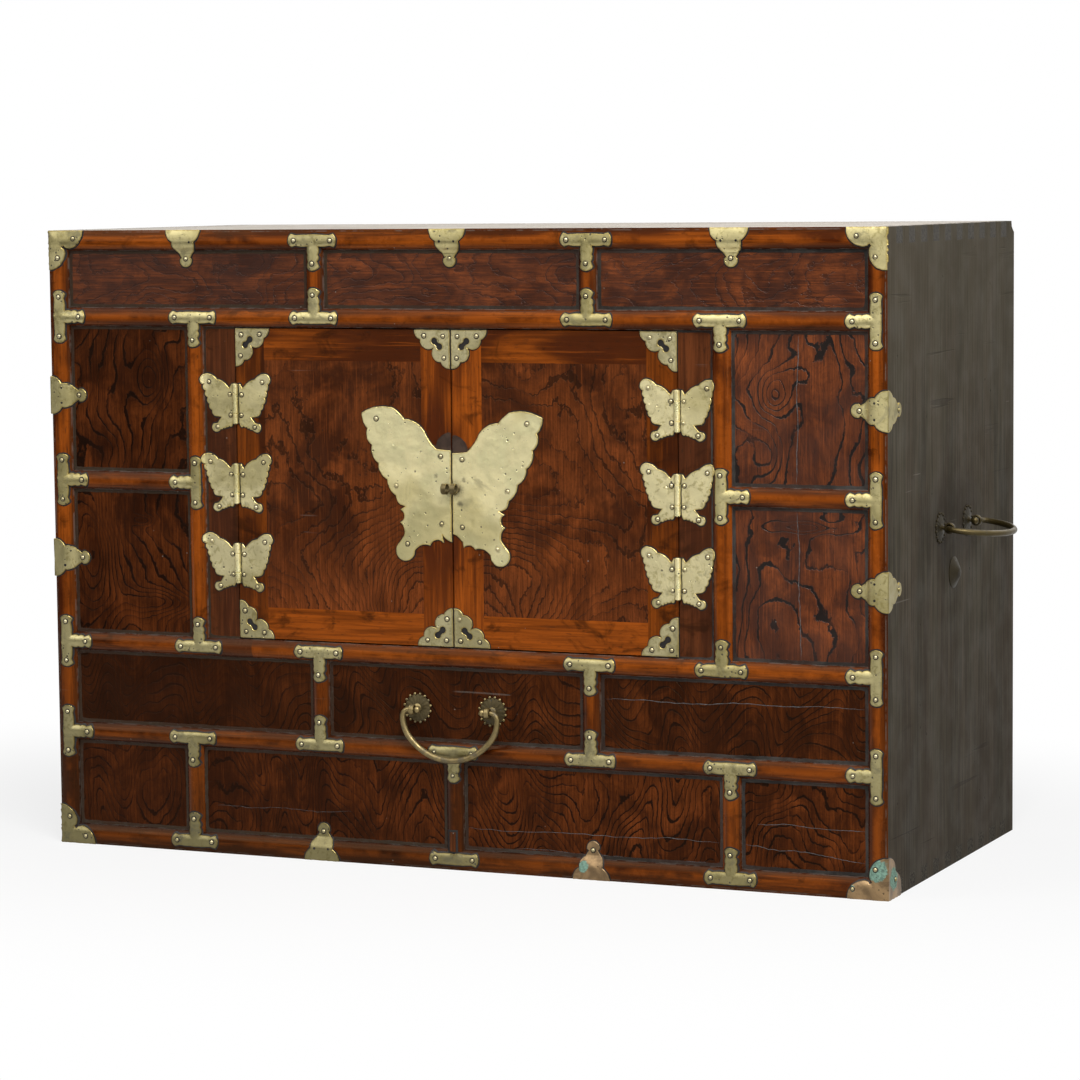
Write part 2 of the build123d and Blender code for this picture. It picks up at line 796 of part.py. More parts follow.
end_profile = polygon([
    (front + arris_drop, 0), (back, 0), (back, end_board), (front + arris_drop + end_board, end_board)
])
end_blank = extrude(Plane.YZ.offset(-half_width) * end_profile, amount=width, dir=(1, 0, 0))
finger_pitch = (back - back_board - front - finger_front) / (2 * fingers)
finger_starts = [front + finger_front + 2 * i * finger_pitch for i in range(fingers)]
finger_slots = group([
    block((-half_width - 1, y, -1), (side_board - half_width + 1, y + finger_pitch, height + 1))
    for y in finger_starts
])
left_socket = left_side - finger_slots
back_x = half_width - back_lap
back_room = block((-back_x, back - back_board, back_lap), (back_x, back + 1, height - back_lap))
bottom_whole = end_blank - left_socket - across(left_socket)
top_whole = upended(bottom_whole)

side_holes = [across(right_layout * hole) for hole in handle_holes(side_handle_half, side_board)]
left_board = left_side - bottom_whole - top_whole - back_room
for hole in side_holes:
    left_board -= hole

plank = (2 * back_x - (back_planks - 1) * plank_gap) / back_planks
plank_starts = [-back_x + i * (plank + plank_gap) for i in range(back_planks)]
planks = [
    block((x, back - back_board, back_lap), (x + plank, back, height - back_lap)) for x in plank_starts
]

stop_y = front + member_depth
stops = [
    block((-hinge_x, stop_y, z), (hinge_x, stop_y + stop_thick, z + stop_width))
    for z in (door_low + stop_lap - stop_width, door_high - stop_lap)
]

chip_edge = polygon([
    (back - chip_long, height + 1),
    (back - chip_long + 1.5, height - chip_high / 2),
    (back - 2.5, height - chip_high + 1.5),
    (back + 1, height - chip_high),
    (back + 1, height + 1),
])
chip = extrude(Plane.YZ.offset(half_width - chip_deep) * chip_edge, amount=chip_deep + 1, dir=(1, 0, 0))

save("left_side_board", left_board)
save("right_side_board", across(left_board) - chip)
save("bottom_board", bottom_whole - back_room)
save("top_board", top_whole - back_room)
save("back_board", *planks)
save("door_stops", *stops)


# ---------------------------------------------------------------- the front frame

top_row_zs = (head_rail_z + half_member, height - outer_width)
lower_row_zs = (lower_rail_z + half_member, sill_rail_z - half_member)
foot_row_zs = (outer_width, lower_rail_z - half_member)
column_bay = (post_x + half_member, inner_edge)
column_rows = (
    (sill_rail_z + half_member, mid_rail_z - half_member),
    (mid_rail_z + half_member, head_rail_z - half_member),
)

top_places = [(bay, top_row_zs) for bay in bays(row_stiles)]
lower_places = [(bay, lower_row_zs) for bay in bays(row_stiles)]
foot_places = [(bay, foot_row_zs) for bay in bays(foot_stiles)]
right_places = [(column_bay, row) for row in column_rows]
left_places = [((-column_bay[1], -column_bay[0]), row) for row in column_rows]
panel_places = top_places + lower_places + foot_places + right_places + left_places
strip_bay = (hinge_x + edge_gap / 2 + tongue, post_x - half_member)
strip_groove = groove(strip_bay, door_row)
grooves = group([groove(*place) for place in panel_places] + [strip_groove, across(strip_groove)])

head_rail, head_ends = level(head_rail_z, -stile_x, stile_x)
sill_rail, sill_ends = level(sill_rail_z, -stile_x, stile_x)
lower_rail, lower_ends = level(lower_rail_z, -stile_x, stile_x)
right_mid_rail, mid_ends = level(mid_rail_z, post_x, stile_x)
post, post_ends = upright(post_x, sill_rail_z, head_rail_z)
top_stiles = [upright(x, head_rail_z, top_rail_z) for x in row_stiles]
lower_stiles = [upright(x, lower_rail_z, sill_rail_z) for x in row_stiles]
low_stiles = [upright(x, crown_line, lower_rail_z) for x in foot_stiles]
posts_ends = post_ends + [across(cut) for cut in post_ends]


def cut_by(piece, fitted_branches=(), ends=()):
    """A member cut for the panels and for the branches that meet it."""
    cuts = [cut for _, pair in fitted_branches for cut in pair] + list(ends)
    return piece - group([*cuts]) - grooves if cuts else piece - grooves


rail_ends = head_ends + sill_ends + lower_ends + mid_ends
stile = across(cut_by(across(outer_stile()), ends=rail_ends))
bottom_rail = outer_rail()
save("frame_left_stile", stile)
save("frame_right_stile", across(stile))
save("frame_bottom_rail", cut_by(bottom_rail, low_stiles))
save("frame_top_rail", cut_by(upended(bottom_rail), top_stiles))
save("door_head_rail", between_sides(cut_by(head_rail, top_stiles, posts_ends)))
save("door_sill_rail", between_sides(cut_by(sill_rail, lower_stiles, posts_ends)))
save("lower_rail", between_sides(cut_by(lower_rail, lower_stiles + low_stiles)))
post = cut_by(post, ends=mid_ends)
save("right_post", post)
save("left_post", across(post))
right_mid_rail = between_sides(cut_by(right_mid_rail))
save("mid_rails", right_mid_rail, across(right_mid_rail))
save("top_row_stiles", *[cut_by(piece) for piece, _ in top_stiles])
save("lower_row_stiles", *[cut_by(piece) for piece, _ in lower_stiles])
save("foot_row_stiles", *[cut_by(piece) for piece, _ in low_stiles])

handle_panel = panel(*lower_places[1])
for hole in handle_holes(front_handle_half, panel_thick):
    handle_panel -= front_layout * hole
save("top_row_panels", *[panel(*place) for place in top_places])
save("lower_row_panels", panel(*lower_places[0]), handle_panel, panel(*lower_places[2]))
save("foot_row_panels", *[panel(*place) for place in foot_places])
save("left_column_panels", *[panel(*place) for place in left_places])
save("right_column_panels", *[panel(*place) for place in right_places])

strip = hinge_strip_board()
save("hinge_strips", strip, across(strip))


# ---------------------------------------------------------------- fittings of the frame

outer_tee = tee_plate(across_outer, TEE)
inner_tee = tee_plate(across_inner, TEE)
worn_tee = tee_plate(across_outer, BAR_END)
rail_zs = (lower_rail_z, sill_rail_z, mid_rail_z, head_rail_z)
down = 90
up = -90
left = 180
save(
    "stile_brackets",
    *[fixed_on(-stile_x, z, 0, outer_tee) for z in rail_zs],
    *[fixed_on(stile_x, z, left, outer_tee) for z in rail_zs],
)
save(
    "rail_brackets",
    *[fixed_on(x, top_rail_z, down, outer_tee) for x in row_stiles],
    *[fixed_on(x, crown_line, up, outer_tee if x else worn_tee) for x in foot_stiles],
)
save(
    "post_brackets",
    *[fixed_on(x, head_rail_z, down, inner_tee) for x in (-post_x, post_x)],
    *[fixed_on(x, sill_rail_z, up, inner_tee) for x in (-post_x, post_x)],
    fixed_on(post_x, mid_rail_z, 0, inner_tee),
    fixed_on(-post_x, mid_rail_z, left, inner_tee),
)
save(
    "row_brackets",
    *[fixed_on(x, head_rail_z, up, inner_tee) for x in row_stiles],
    *[fixed_on(x, sill_rail_z, down, inner_tee) for x in row_stiles],
    *[fixed_on(x, lower_rail_z, up, inner_tee) for x in row_stiles],
    *[fixed_on(x, lower_rail_z, down, inner_tee) for x in foot_stiles],
)

corner = Pos(-half_width, front, 0) * corner_plate()
save("corner_plates", corner, upended(corner), upended(across(corner)))

plain_plate = edge_plate()
wrapped_plate = wrapped_edge_plate()
side_zs = (mid_rail_z - edge_plate_drop, mid_rail_z + edge_plate_drop)
side_plates = [fixed_on(-stile_x, z, 0, wrapped_plate) for z in side_zs]
save(
    "edge_plates",
    *[fixed_on(x, top_rail_z, down, plain_plate) for x in (-edge_plate_x, 0, edge_plate_x)],
    fixed_on(-base_plate_x, crown_line, up, plain_plate),
)
save("side_edge_plates", *side_plates, *[across(piece) for piece in side_plates])
green_corner = across(Pos(-half_width, front, 0) * wrapped_corner_plate())
save("green_plates", green_corner, fixed_on(base_plate_x, crown_line, up, plain_plate))


# ---------------------------------------------------------------- doors and hinges

stiles, rails, door_panel = door_pieces()
right_eye = lock_eye()
eye_room = Pos(lock_eye_x, door_face, lock_z) * shank_hole(door_thick)
stiles = [stiles[0] - eye_room, stiles[1]]
plates = door_corner_plates()
whole_half = across(lock_half(LOCK_WHOLE) - eye_room)
broken_half = Pos(0, 0, -lock_half_drop) * lock_half(LOCK_BROKEN) - eye_room
moving = moving_wing()
fixed = fixed_wing()

save("right_door_stiles", *stiles)
save("right_door_rails", *rails)
save("right_door_panel", door_panel)
save("right_lock_plate", broken_half)
save("right_lock_eye", right_eye)
save("right_door_corner_plates", *plates)
save("right_door_hinge_wings", *at_hinges(moving))
save("right_frame_hinge_wings", *at_hinges(fixed))
save("left_door_stiles", *[across(piece) for piece in stiles])
save("left_door_rails", *[across(piece) for piece in rails])
save("left_door_panel", across(door_panel))
save("left_lock_plate", whole_half)
save("left_lock_eye", across(right_eye))
save("left_door_corner_plates", *[across(piece) for piece in plates])
save("left_door_hinge_wings", *at_hinges(moving, -1))
save("left_frame_hinge_wings", *at_hinges(fixed, -1))
hinge_pin = Cylinder(pin_radius, barrel_long)
save("hinge_pins", *at_hinges(hinge_pin), *at_hinges(hinge_pin, -1))


# ---------------------------------------------------------------- handles

front_bail = Pos(0, -front_handle_stand, 0) * bail(front_handle_half)
save("front_handle_rosettes", *[front_layout * piece for piece in handle_rosettes(front_handle_half)])
save(
    "front_handle_eyes",
    *[front_layout * piece for piece in handle_eyes(front_handle_half, front_handle_stand, panel_thick)],
)
save("front_bail", front_layout * front_bail)

side_bail = Pos(0, -side_handle_stand, 0) * Rot(side_bail_droop - 90, 0, 0) * bail(side_handle_half)
side_mounts = handle_rosettes(side_handle_half) + [Pos(0, 0, -strike_drop) * strike_plate()]
side_eyes = handle_eyes(side_handle_half, side_handle_stand, side_board)
save("right_handle_mounts", *[right_layout * piece for piece in side_mounts])
save("left_handle_mounts", *[across(right_layout * piece) for piece in side_mounts])
save("right_handle_eyes", *[right_layout * piece for piece in side_eyes])
save("left_handle_eyes", *[across(right_layout * piece) for piece in side_eyes])
save("right_bail", right_layout * side_bail)
save("left_bail", across(right_layout * side_bail))
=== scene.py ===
"""Looks for one section of a Korean stacking chest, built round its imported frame."""

import math

import bmesh
import bpy
from mathutils import Matrix, Vector, kdtree, noise


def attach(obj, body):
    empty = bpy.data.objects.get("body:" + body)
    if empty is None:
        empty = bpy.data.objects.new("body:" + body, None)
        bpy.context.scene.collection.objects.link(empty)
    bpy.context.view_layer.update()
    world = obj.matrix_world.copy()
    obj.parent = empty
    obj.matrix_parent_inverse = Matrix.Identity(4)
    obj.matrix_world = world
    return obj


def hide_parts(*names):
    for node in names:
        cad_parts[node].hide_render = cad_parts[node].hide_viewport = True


bl_info = {
    "name": "Korean Stacking Chest",
    "version": (1, 0, 0),
    "blender": (4, 5, 0),
    "location": "View3D > Sidebar > Chest",
    "description": "Builds the fittings, wood finishes and studio of a stacking chest section",
    "category": "Object",
}

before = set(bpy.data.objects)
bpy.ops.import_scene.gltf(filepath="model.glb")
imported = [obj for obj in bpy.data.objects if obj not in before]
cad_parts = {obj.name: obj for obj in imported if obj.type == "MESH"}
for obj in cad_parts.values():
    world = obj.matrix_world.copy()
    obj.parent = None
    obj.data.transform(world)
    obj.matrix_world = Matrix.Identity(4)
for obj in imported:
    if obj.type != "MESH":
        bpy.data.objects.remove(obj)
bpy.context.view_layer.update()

# Sizes below are in millimetres, in the frame's own axes; meshes are written in metres.
MM = 0.001
WIDTH, DEPTH, HEIGHT = 850.0, 390.0, 598.0
HALF = WIDTH / 2
FRONT = -DEPTH / 2
CROWN_RADIUS = 10.6
OUTER_RADIUS = 43.05
ARRIS_DROP = 1.3
CROWN_LINE = 10.5
OUTER_WIDTH = 19.5
HALF_MEMBER = 9.0
LIP = 5.0
PANEL_LEVEL = 6.5
DOOR_LEVEL = 6.0
SLOPE = 3.0
BEDDING = 0.05
EDGE_REACH = 3.0
STAIN_REACH = 6.5
RAILS = (111.0, 199.5, 515.0)
MID_RAIL = 357.25
POST = 268.0
ROW_STILES = (-139.0, 139.0)
FOOT_STILES = (-276.0, 0.0, 276.0)
HINGE_X, HINGE_Y = 225.3, -191.65
HINGE_ZS = (281.2, 357.25, 433.3)
HALF_HINGE = 19.0
DOOR_Y = FRONT + DOOR_LEVEL
SEAM = 0.8
DOOR_OUTER = 224.9
DOOR_LOW, DOOR_HIGH = 209.7, 504.8
LOCK_EYE_X, LOCK_EYE_Z = 4.5, 357.75
FRONT_SPAN, FRONT_BAIL_Y, FRONT_BAIL_Z = 38.5, -201.0, 150.75
SIDE_SPAN, SIDE_BAIL_X, SIDE_BAIL_Z = 42.0, 434.5, 320.0
STRIKE_Z = 275.0
DROOP = math.radians(7.0)
RIGHT, DOWN, LEFT, UP = 0, 1, 2, 3
DOORS = ((-1, "left_door"), (1, "right_door"))


# ------------------------------------------------------------------ sizes and colours to change

def colour(name, description, default):
    """Colour that a user can change."""
    return bpy.props.FloatVectorProperty(
        name=name, description=description, default=default, subtype="COLOR", size=3, min=0.0, max=1.0
    )


def length(name, description, default):
    """Length that a user can change; the default is in millimetres."""
    return bpy.props.FloatProperty(
        name=name, description=description, default=default * MM, unit="LENGTH", precision=5, min=0.0
    )


def power(name, description, default):
    """Power of a light that a user can change."""
    return bpy.props.FloatProperty(name=name, description=description, default=default, min=0.0, unit="POWER")


class ChestWood(bpy.types.PropertyGroup):
    """Colours of the woods and the borders' size."""

    frame_light: colour("Frame Light", "Lighter tone of the lacquered frame", (0.268, 0.059, 0.005))
    frame_dark: colour("Frame Dark", "Darker tone of the lacquered frame", (0.066, 0.0125, 0.0025))
    panel_light: colour("Panel Light", "Lighter tone of the figured panels", (0.175, 0.042, 0.009))
    panel_dark: colour("Panel Dark", "Darker tone of the figured panels", (0.030, 0.0070, 0.0028))
    line: colour("Figure Line", "Growth lines of the figured panels", (0.005, 0.002, 0.0014))
    case_light: colour("Case Light", "Lighter tone of the side boards", (0.083, 0.071, 0.050))
    case_dark: colour("Case Dark", "Darker tone of the side boards", (0.036, 0.030, 0.020))
    border: colour("Border", "Dark strip round each panel", (0.037, 0.033, 0.029))
    border_width: length("Border Width", "Width of the strip round each panel", 3.1)


class ChestBrass(bpy.types.PropertyGroup):
    """Sizes and colours of the cut sheet metal."""

    pale: colour("Pale", "Clean colour of the plates", (0.76, 0.67, 0.37))
    tarnish: colour("Tarnish", "Colour of the plates where they are dull", (0.17, 0.15, 0.075))
    bronze: colour("Bronze", "Colour of the bails and eyes", (0.22, 0.165, 0.07))
    verdigris: colour("Verdigris", "Colour of the green corner", (0.19, 0.33, 0.25))
    thickness: length("Thickness", "Thickness of the plates", 1.2)
    lock_thickness: length("Lock Thickness", "Thickness of the large butterfly", 1.5)
    nail_radius: length("Nail Radius", "Radius of a domed nail head", 1.95)
    nail_height: length("Nail Height", "Height of a domed nail head", 1.5)


class ChestStage(bpy.types.PropertyGroup):
    """Camera and light."""

    lens: bpy.props.FloatProperty(
        name="Lens", description="Focal length of the camera", default=122.63, min=1.0, unit="CAMERA"
    )
    key: power("Key Light", "Power of the main softbox", 54.0)
    fill: power("Fill Light", "Power of the left-hand softbox", 17.0)
    top: power("Top Light", "Power of the overhead softbox", 5.0)


def brass_size(name):
    """One of the metal's sizes, in millimetres."""
    return getattr(bpy.context.scene.chest_brass, name) / MM


# ------------------------------------------------------------------ node building

def operation(kind, turned=False):
    """Method that puts a maths node after a value."""

    def method(value, other=0.0):
        return value.nodes.math(kind, *((other, value) if turned else (value, other)))
    return method


class Value:
    """What a node puts out. Sums are written as sums, and | and & are the larger and the smaller of two."""

    __add__ = __radd__ = operation("ADD")
    __mul__ = __rmul__ = operation("MULTIPLY")
    __sub__, __rsub__ = operation("SUBTRACT"), operation("SUBTRACT", True)
    __truediv__, __pow__, __abs__ = operation("DIVIDE"), operation("POWER"), operation("ABSOLUTE")
    __gt__, __lt__ = operation("GREATER_THAN"), operation("LESS_THAN")
    __or__, __and__ = operation("MAXIMUM"), operation("MINIMUM")

    def __init__(self, nodes, socket):
        self.nodes, self.socket = nodes, socket

    def ramp(self, low, high, to_low=0.0, to_high=1.0):
        """Smooth step of the value from one range to another."""
        inputs = {"Value": self, "From Min": low, "From Max": high, "To Min": to_low, "To Max": to_high}
        return self.nodes.out("ShaderNodeMapRange", inputs, interpolation_type="SMOOTHSTEP")


class Nodes:
    """Adds and joins nodes in one tree."""

    def __init__(self, tree):
        self.tree = tree

    def put(self, socket, value):
        """Joins a value to a socket, or sets the socket."""
        if isinstance(value, Value):
            self.tree.links.new(value.socket, socket)
        else:
            socket.default_value = value

    def add(self, kind, inputs=None, **settings):
        node = self.tree.nodes.new(kind)
        for key, value in settings.items():
            setattr(node, key, value)
        for key, value in (inputs or {}).items():
            self.put(node.inputs[key], value)
        return node

    def out(self, kind, inputs=None, which=0, **settings):
        """One output of a new node."""
        return Value(self, self.add(kind, inputs, **settings).outputs[which])

    def outs(self, kind, inputs=None, **settings):
        """Every output of a new node, by its name."""
        return {each.name: Value(self, each) for each in self.add(kind, inputs, **settings).outputs}

    def math(self, kind, a, b=0.0):
        return self.out("ShaderNodeMath", {0: a, 1: b}, operation=kind)

    def blend(self, factor, a, b, mode="MIX"):
        a, b = [each if isinstance(each, Value) else (*each, 1.0) for each in (a, b)]
        return self.out("ShaderNodeMix", {0: factor, 6: a, 7: b}, 2, data_type="RGBA", blend_type=mode)

    def stretch(self, vector, scale=(1.0, 1.0, 1.0), location=(0.0, 0.0, 0.0), rotation=(0.0, 0.0, 0.0)):
        inputs = {"Vector": vector, "Location": location, "Rotation": rotation, "Scale": scale}
        return self.out("ShaderNodeMapping", inputs)

    def noise(self, vector, scale=1.0, detail=2.0, roughness=0.5, distortion=0.0):
        inputs = {"Vector": vector, "Scale": scale, "Detail": detail, "Roughness": roughness}
        return self.out("ShaderNodeTexNoise", inputs | {"Distortion": distortion})

    def cells(self, vector, scale=1.0):
        """Distance and three random numbers of scattered cells."""
        outputs = self.outs("ShaderNodeTexVoronoi", {"Vector": vector, "Scale": scale, "Randomness": 1.0})
        return outputs["Distance"], *self.apart(outputs["Color"])

    def place(self):
        return self.out("ShaderNodeTexCoord", which="Object")

    def apart(self, vector):
        return self.outs("ShaderNodeSeparateXYZ", {0: vector}).values()

    def length(self, vector):
        return self.out("ShaderNodeVectorMath", {0: vector}, "Value", operation="LENGTH")

    def attribute(self, name):
        return self.out("ShaderNodeAttribute", which="Fac", attribute_name=name)

    def bump(self, height, distance, strength=1.0):
        return self.out("ShaderNodeBump", {"Height": height, "Distance": distance, "Strength": strength})


def shader_group(name, **inputs):
    """Makes a builder's values one shader node group, built at its first use; _ stands for a space."""

    def wrap(build):
        def use(nodes, vector, **given):
            group = bpy.data.node_groups.get(name) or grouped(build)
            values = {"Vector": vector} | {key.replace("_", " "): value for key, value in given.items()}
            return nodes.outs("ShaderNodeGroup", values, node_tree=group).values()
        return use

    def grouped(build):
        group = bpy.data.node_groups.new(name, "ShaderNodeTree")
        group.interface.new_socket("Vector", in_out="INPUT", socket_type="NodeSocketVector")
        for label, default in inputs.items():
            label = label.replace("_", " ")
            socket = group.interface.new_socket(label, in_out="INPUT", socket_type="NodeSocketFloat")
            socket.default_value = default
        nodes = Nodes(group)
        start = nodes.add("NodeGroupInput").outputs
        found = build(nodes, *[Value(nodes, each) for each in start[:len(inputs) + 1]])
        for label in found:
            group.interface.new_socket(label, in_out="OUTPUT", socket_type="NodeSocketFloat")
        nodes.add("NodeGroupOutput", found)
        return group
    return wrap


@shader_group("Wood grain", Fibre_Scale=420.0)
def wood_grain(nodes, vector, scale):
    """Fibres, pores and slow changes of tone in planed wood; the vector's Z runs along the grain."""
    slow = nodes.noise(nodes.stretch(vector, (26.0, 26.0, 6.0)), 1.0, 3.0, 0.55, 0.6)
    streak = nodes.noise(nodes.stretch(vector, (210.0, 210.0, 7.0)), 1.0, 3.0, 0.6, 0.3)
    fibre = nodes.noise(nodes.stretch(vector, (1.0, 1.0, 0.035)), scale, 2.0, 0.6)
    pores = nodes.noise(nodes.stretch(vector, (1.0, 1.0, 0.09), (3.0, 1.0, 2.0)), 1100.0, 1.0)
    return {
        "Tone": slow.ramp(0.38, 0.62), "Streak": streak.ramp(0.4, 0.66), "Fibre": fibre,
        "Pores": pores.ramp(0.64, 0.72),
    }


@shader_group(
    "Zelkova figure", Slope_X=50.0, Slope_Z=0.0, Sway=3.0, Across=9.0, Along=6.0, Wave=0.0, Wave_Count=90.0,
    Eyes=0.0, Ragged=0.6, Shift=0.0,
)
def zelkova_figure(nodes, vector, slope_x, slope_z, sway, across, along, wave, count, eyes, ragged, shift):
    """Growth lines of figured zelkova: one line at each whole number of a slow, wandering field."""
    x, _, z = nodes.apart(vector)
    flow = nodes.out("ShaderNodeCombineXYZ", {0: x * across, 1: shift, 2: z * along})
    slow = nodes.noise(flow, 1.0, 2.0, 0.42, 0.35)
    phase = nodes.noise(nodes.stretch(flow, (0.8, 0.8, 0.5), (4.0, 0.0, 7.0)), 1.0, 1.0)
    waves = nodes.math("COSINE", x * count + phase * 14.0) * wave
    fine = nodes.noise(nodes.stretch(vector, (130.0, 130.0, 85.0)), 1.0, 3.0, 0.6)
    field = x * slope_x + z * slope_z + (slow - 0.5) * (sway * 4.0) + waves + eyes
    field = field + (fine - 0.5) * ragged + shift * 0.37
    ring = nodes.math("FRACT", field)
    uneven = nodes.noise(nodes.stretch(flow, (2.2, 2.2, 2.2), (5.0, 2.0, 9.0)), 1.0, 3.0, 0.6)
    edge = uneven.ramp(0.3, 0.7, 0.93, 0.72)
    line = ring.ramp(edge, edge + 0.06) * ring.ramp(0.975, 1.0, 1.0, 0.0) * uneven.ramp(0.3, 0.52, 0.15, 1.0)
    patch = nodes.noise(nodes.stretch(flow, (1.9, 1.9, 1.9), (11.0, 4.0, 1.0)), 1.0, 4.0, 0.62, 0.8)
    curl = nodes.noise(nodes.stretch(vector, (75.0, 75.0, 15.0), (2.0, 0.0, 0.0)), 1.0, 3.0, 0.6, 0.9)
    return {
        "Line": line, "Shade": ring**3.0, "Fine": nodes.math("FRACT", field * 4.3)**4.0,
        "Patch": patch.ramp(0.38, 0.62), "Curl": curl.ramp(0.38, 0.62),
    }


@shader_group("Figure eye", X=0.0, Z=0.0, Across=0.02, Along=0.03, Rise=5.0)
def figure_eye(nodes, vector, at_x, at_z, across, along, rise):
    """Swelling of the growth lines round a knot, and the knot's own dark heart."""
    x, _, z = nodes.apart(vector)
    u, v = (x - at_x) / across, (z - at_z) / along
    far = u * u + v * v
    return {"Field": nodes.math("EXPONENT", far * -1.0) * rise, "Heart": far.ramp(0.05, 0.5, 1.0, 0.0)}


@shader_group("Old wear", Speck_Share=0.5, Scratch_Depth=0.5)
def old_wear(nodes, vector, share, depth):
    """Scratches, pale specks, small dents and rubbed places of an old surface."""
    gap, chance, _, _ = nodes.cells(vector, 110.0)
    speck = gap.ramp(0.04, 0.09, 1.0, 0.0) * (chance > 1.0 - share * 0.08)
    thin = nodes.noise(nodes.stretch(vector, (5.0, 5.0, 230.0), rotation=(0.0, 0.5, 0.0)), 1.0, 2.0, 0.6, 0.5)
    here = nodes.noise(vector, 17.0, 1.0).ramp(0.58, 0.66)
    gap, _, chance, _ = nodes.cells(nodes.stretch(vector, (60.0, 60.0, 75.0), (3.0, 1.0, 4.0)))
    torn = gap + nodes.noise(vector, 500.0, 2.0) * 0.12
    return {
        "Specks": speck, "Scratches": thin.ramp(0.70, 0.72) * (here * depth),
        "Rubbed": nodes.noise(vector, 28.0, 4.0, 0.6),
        "Dents": torn.ramp(0.12, 0.19, 1.0, 0.0) * (chance > 0.86),
    }


@shader_group("Brass patina", Pit_Share=0.5, Cloud_Scale=55.0)
def brass_patina(nodes, vector, share, scale):
    """Tarnish, pits and the faint hammering of old sheet brass."""
    gathered = nodes.noise(vector, 38.0, 2.0, 0.5).ramp(0.42, 0.68, 0.02, 0.6)
    gap, _, chance, size = nodes.cells(nodes.stretch(vector, (1.0, 0.12, 1.0)), 260.0)
    pit = (gap < size * 0.2 + 0.08) * (chance > 1.0 - share * gathered)
    height = nodes.noise(vector, 900.0, 3.0, 0.6) * 0.1 + nodes.noise(vector, 120.0, 2.0, 0.5)
    return {"Cloud": nodes.noise(vector, scale, 5.0, 0.62, 0.6), "Pits": pit, "Height": height - pit * 0.6}


# ------------------------------------------------------------------ materials

ALONG_X = (0.0, math.radians(90.0), 0.0)
ALONG_Z = (0.0, 0.0, 0.0)
DUST = (0.30, 0.27, 0.23)
SOOT = (0.012, 0.008, 0.006)
SHELLAC = (1.0, 0.55, 0.26, 1.0)
CLOUDY = (1.0, 0.92, 0.84, 1.0)
BOARD_END = 0.4247
FOLDED_SIDE = 0.4254
WOOD_GLOSS = 0.3
DOOR_GLOSS = 0.36


class Finish(Nodes):
    """The nodes of one material and its shader."""

    def __init__(self, name):
        self.material = bpy.data.materials.new(name)
        self.material.use_nodes = True
        super().__init__(self.material.node_tree)
        self.tree.nodes.clear()
        self.shader = self.add("ShaderNodeBsdfPrincipled")
        self.add("ShaderNodeOutputMaterial", {"Surface": Value(self, self.shader.outputs[0])})

    def done(self, base, rough, normal, **values):
        """The material, with the shader's sockets joined or set; an underscore stands for a space."""
        for key, value in {"Base_Color": base, "Roughness": rough, "Normal": normal, **values}.items():
            self.put(self.shader.inputs[key.replace("_", " ")], value)
        return self.material

    def layered(self, base, *layers):
        """Base colour with (mask, strength, colour) layers over it."""
        for mask, strength, shade in layers:
            base = self.blend(mask * strength, base, shade)
        return base


def tinted(colour, factor):
    """A colour made lighter or darker."""
    return tuple(min(1.0, c * factor) for c in colour)


def total(values):
    """Sum of values, joined by maths nodes."""
    return sum(values[1:], values[0])


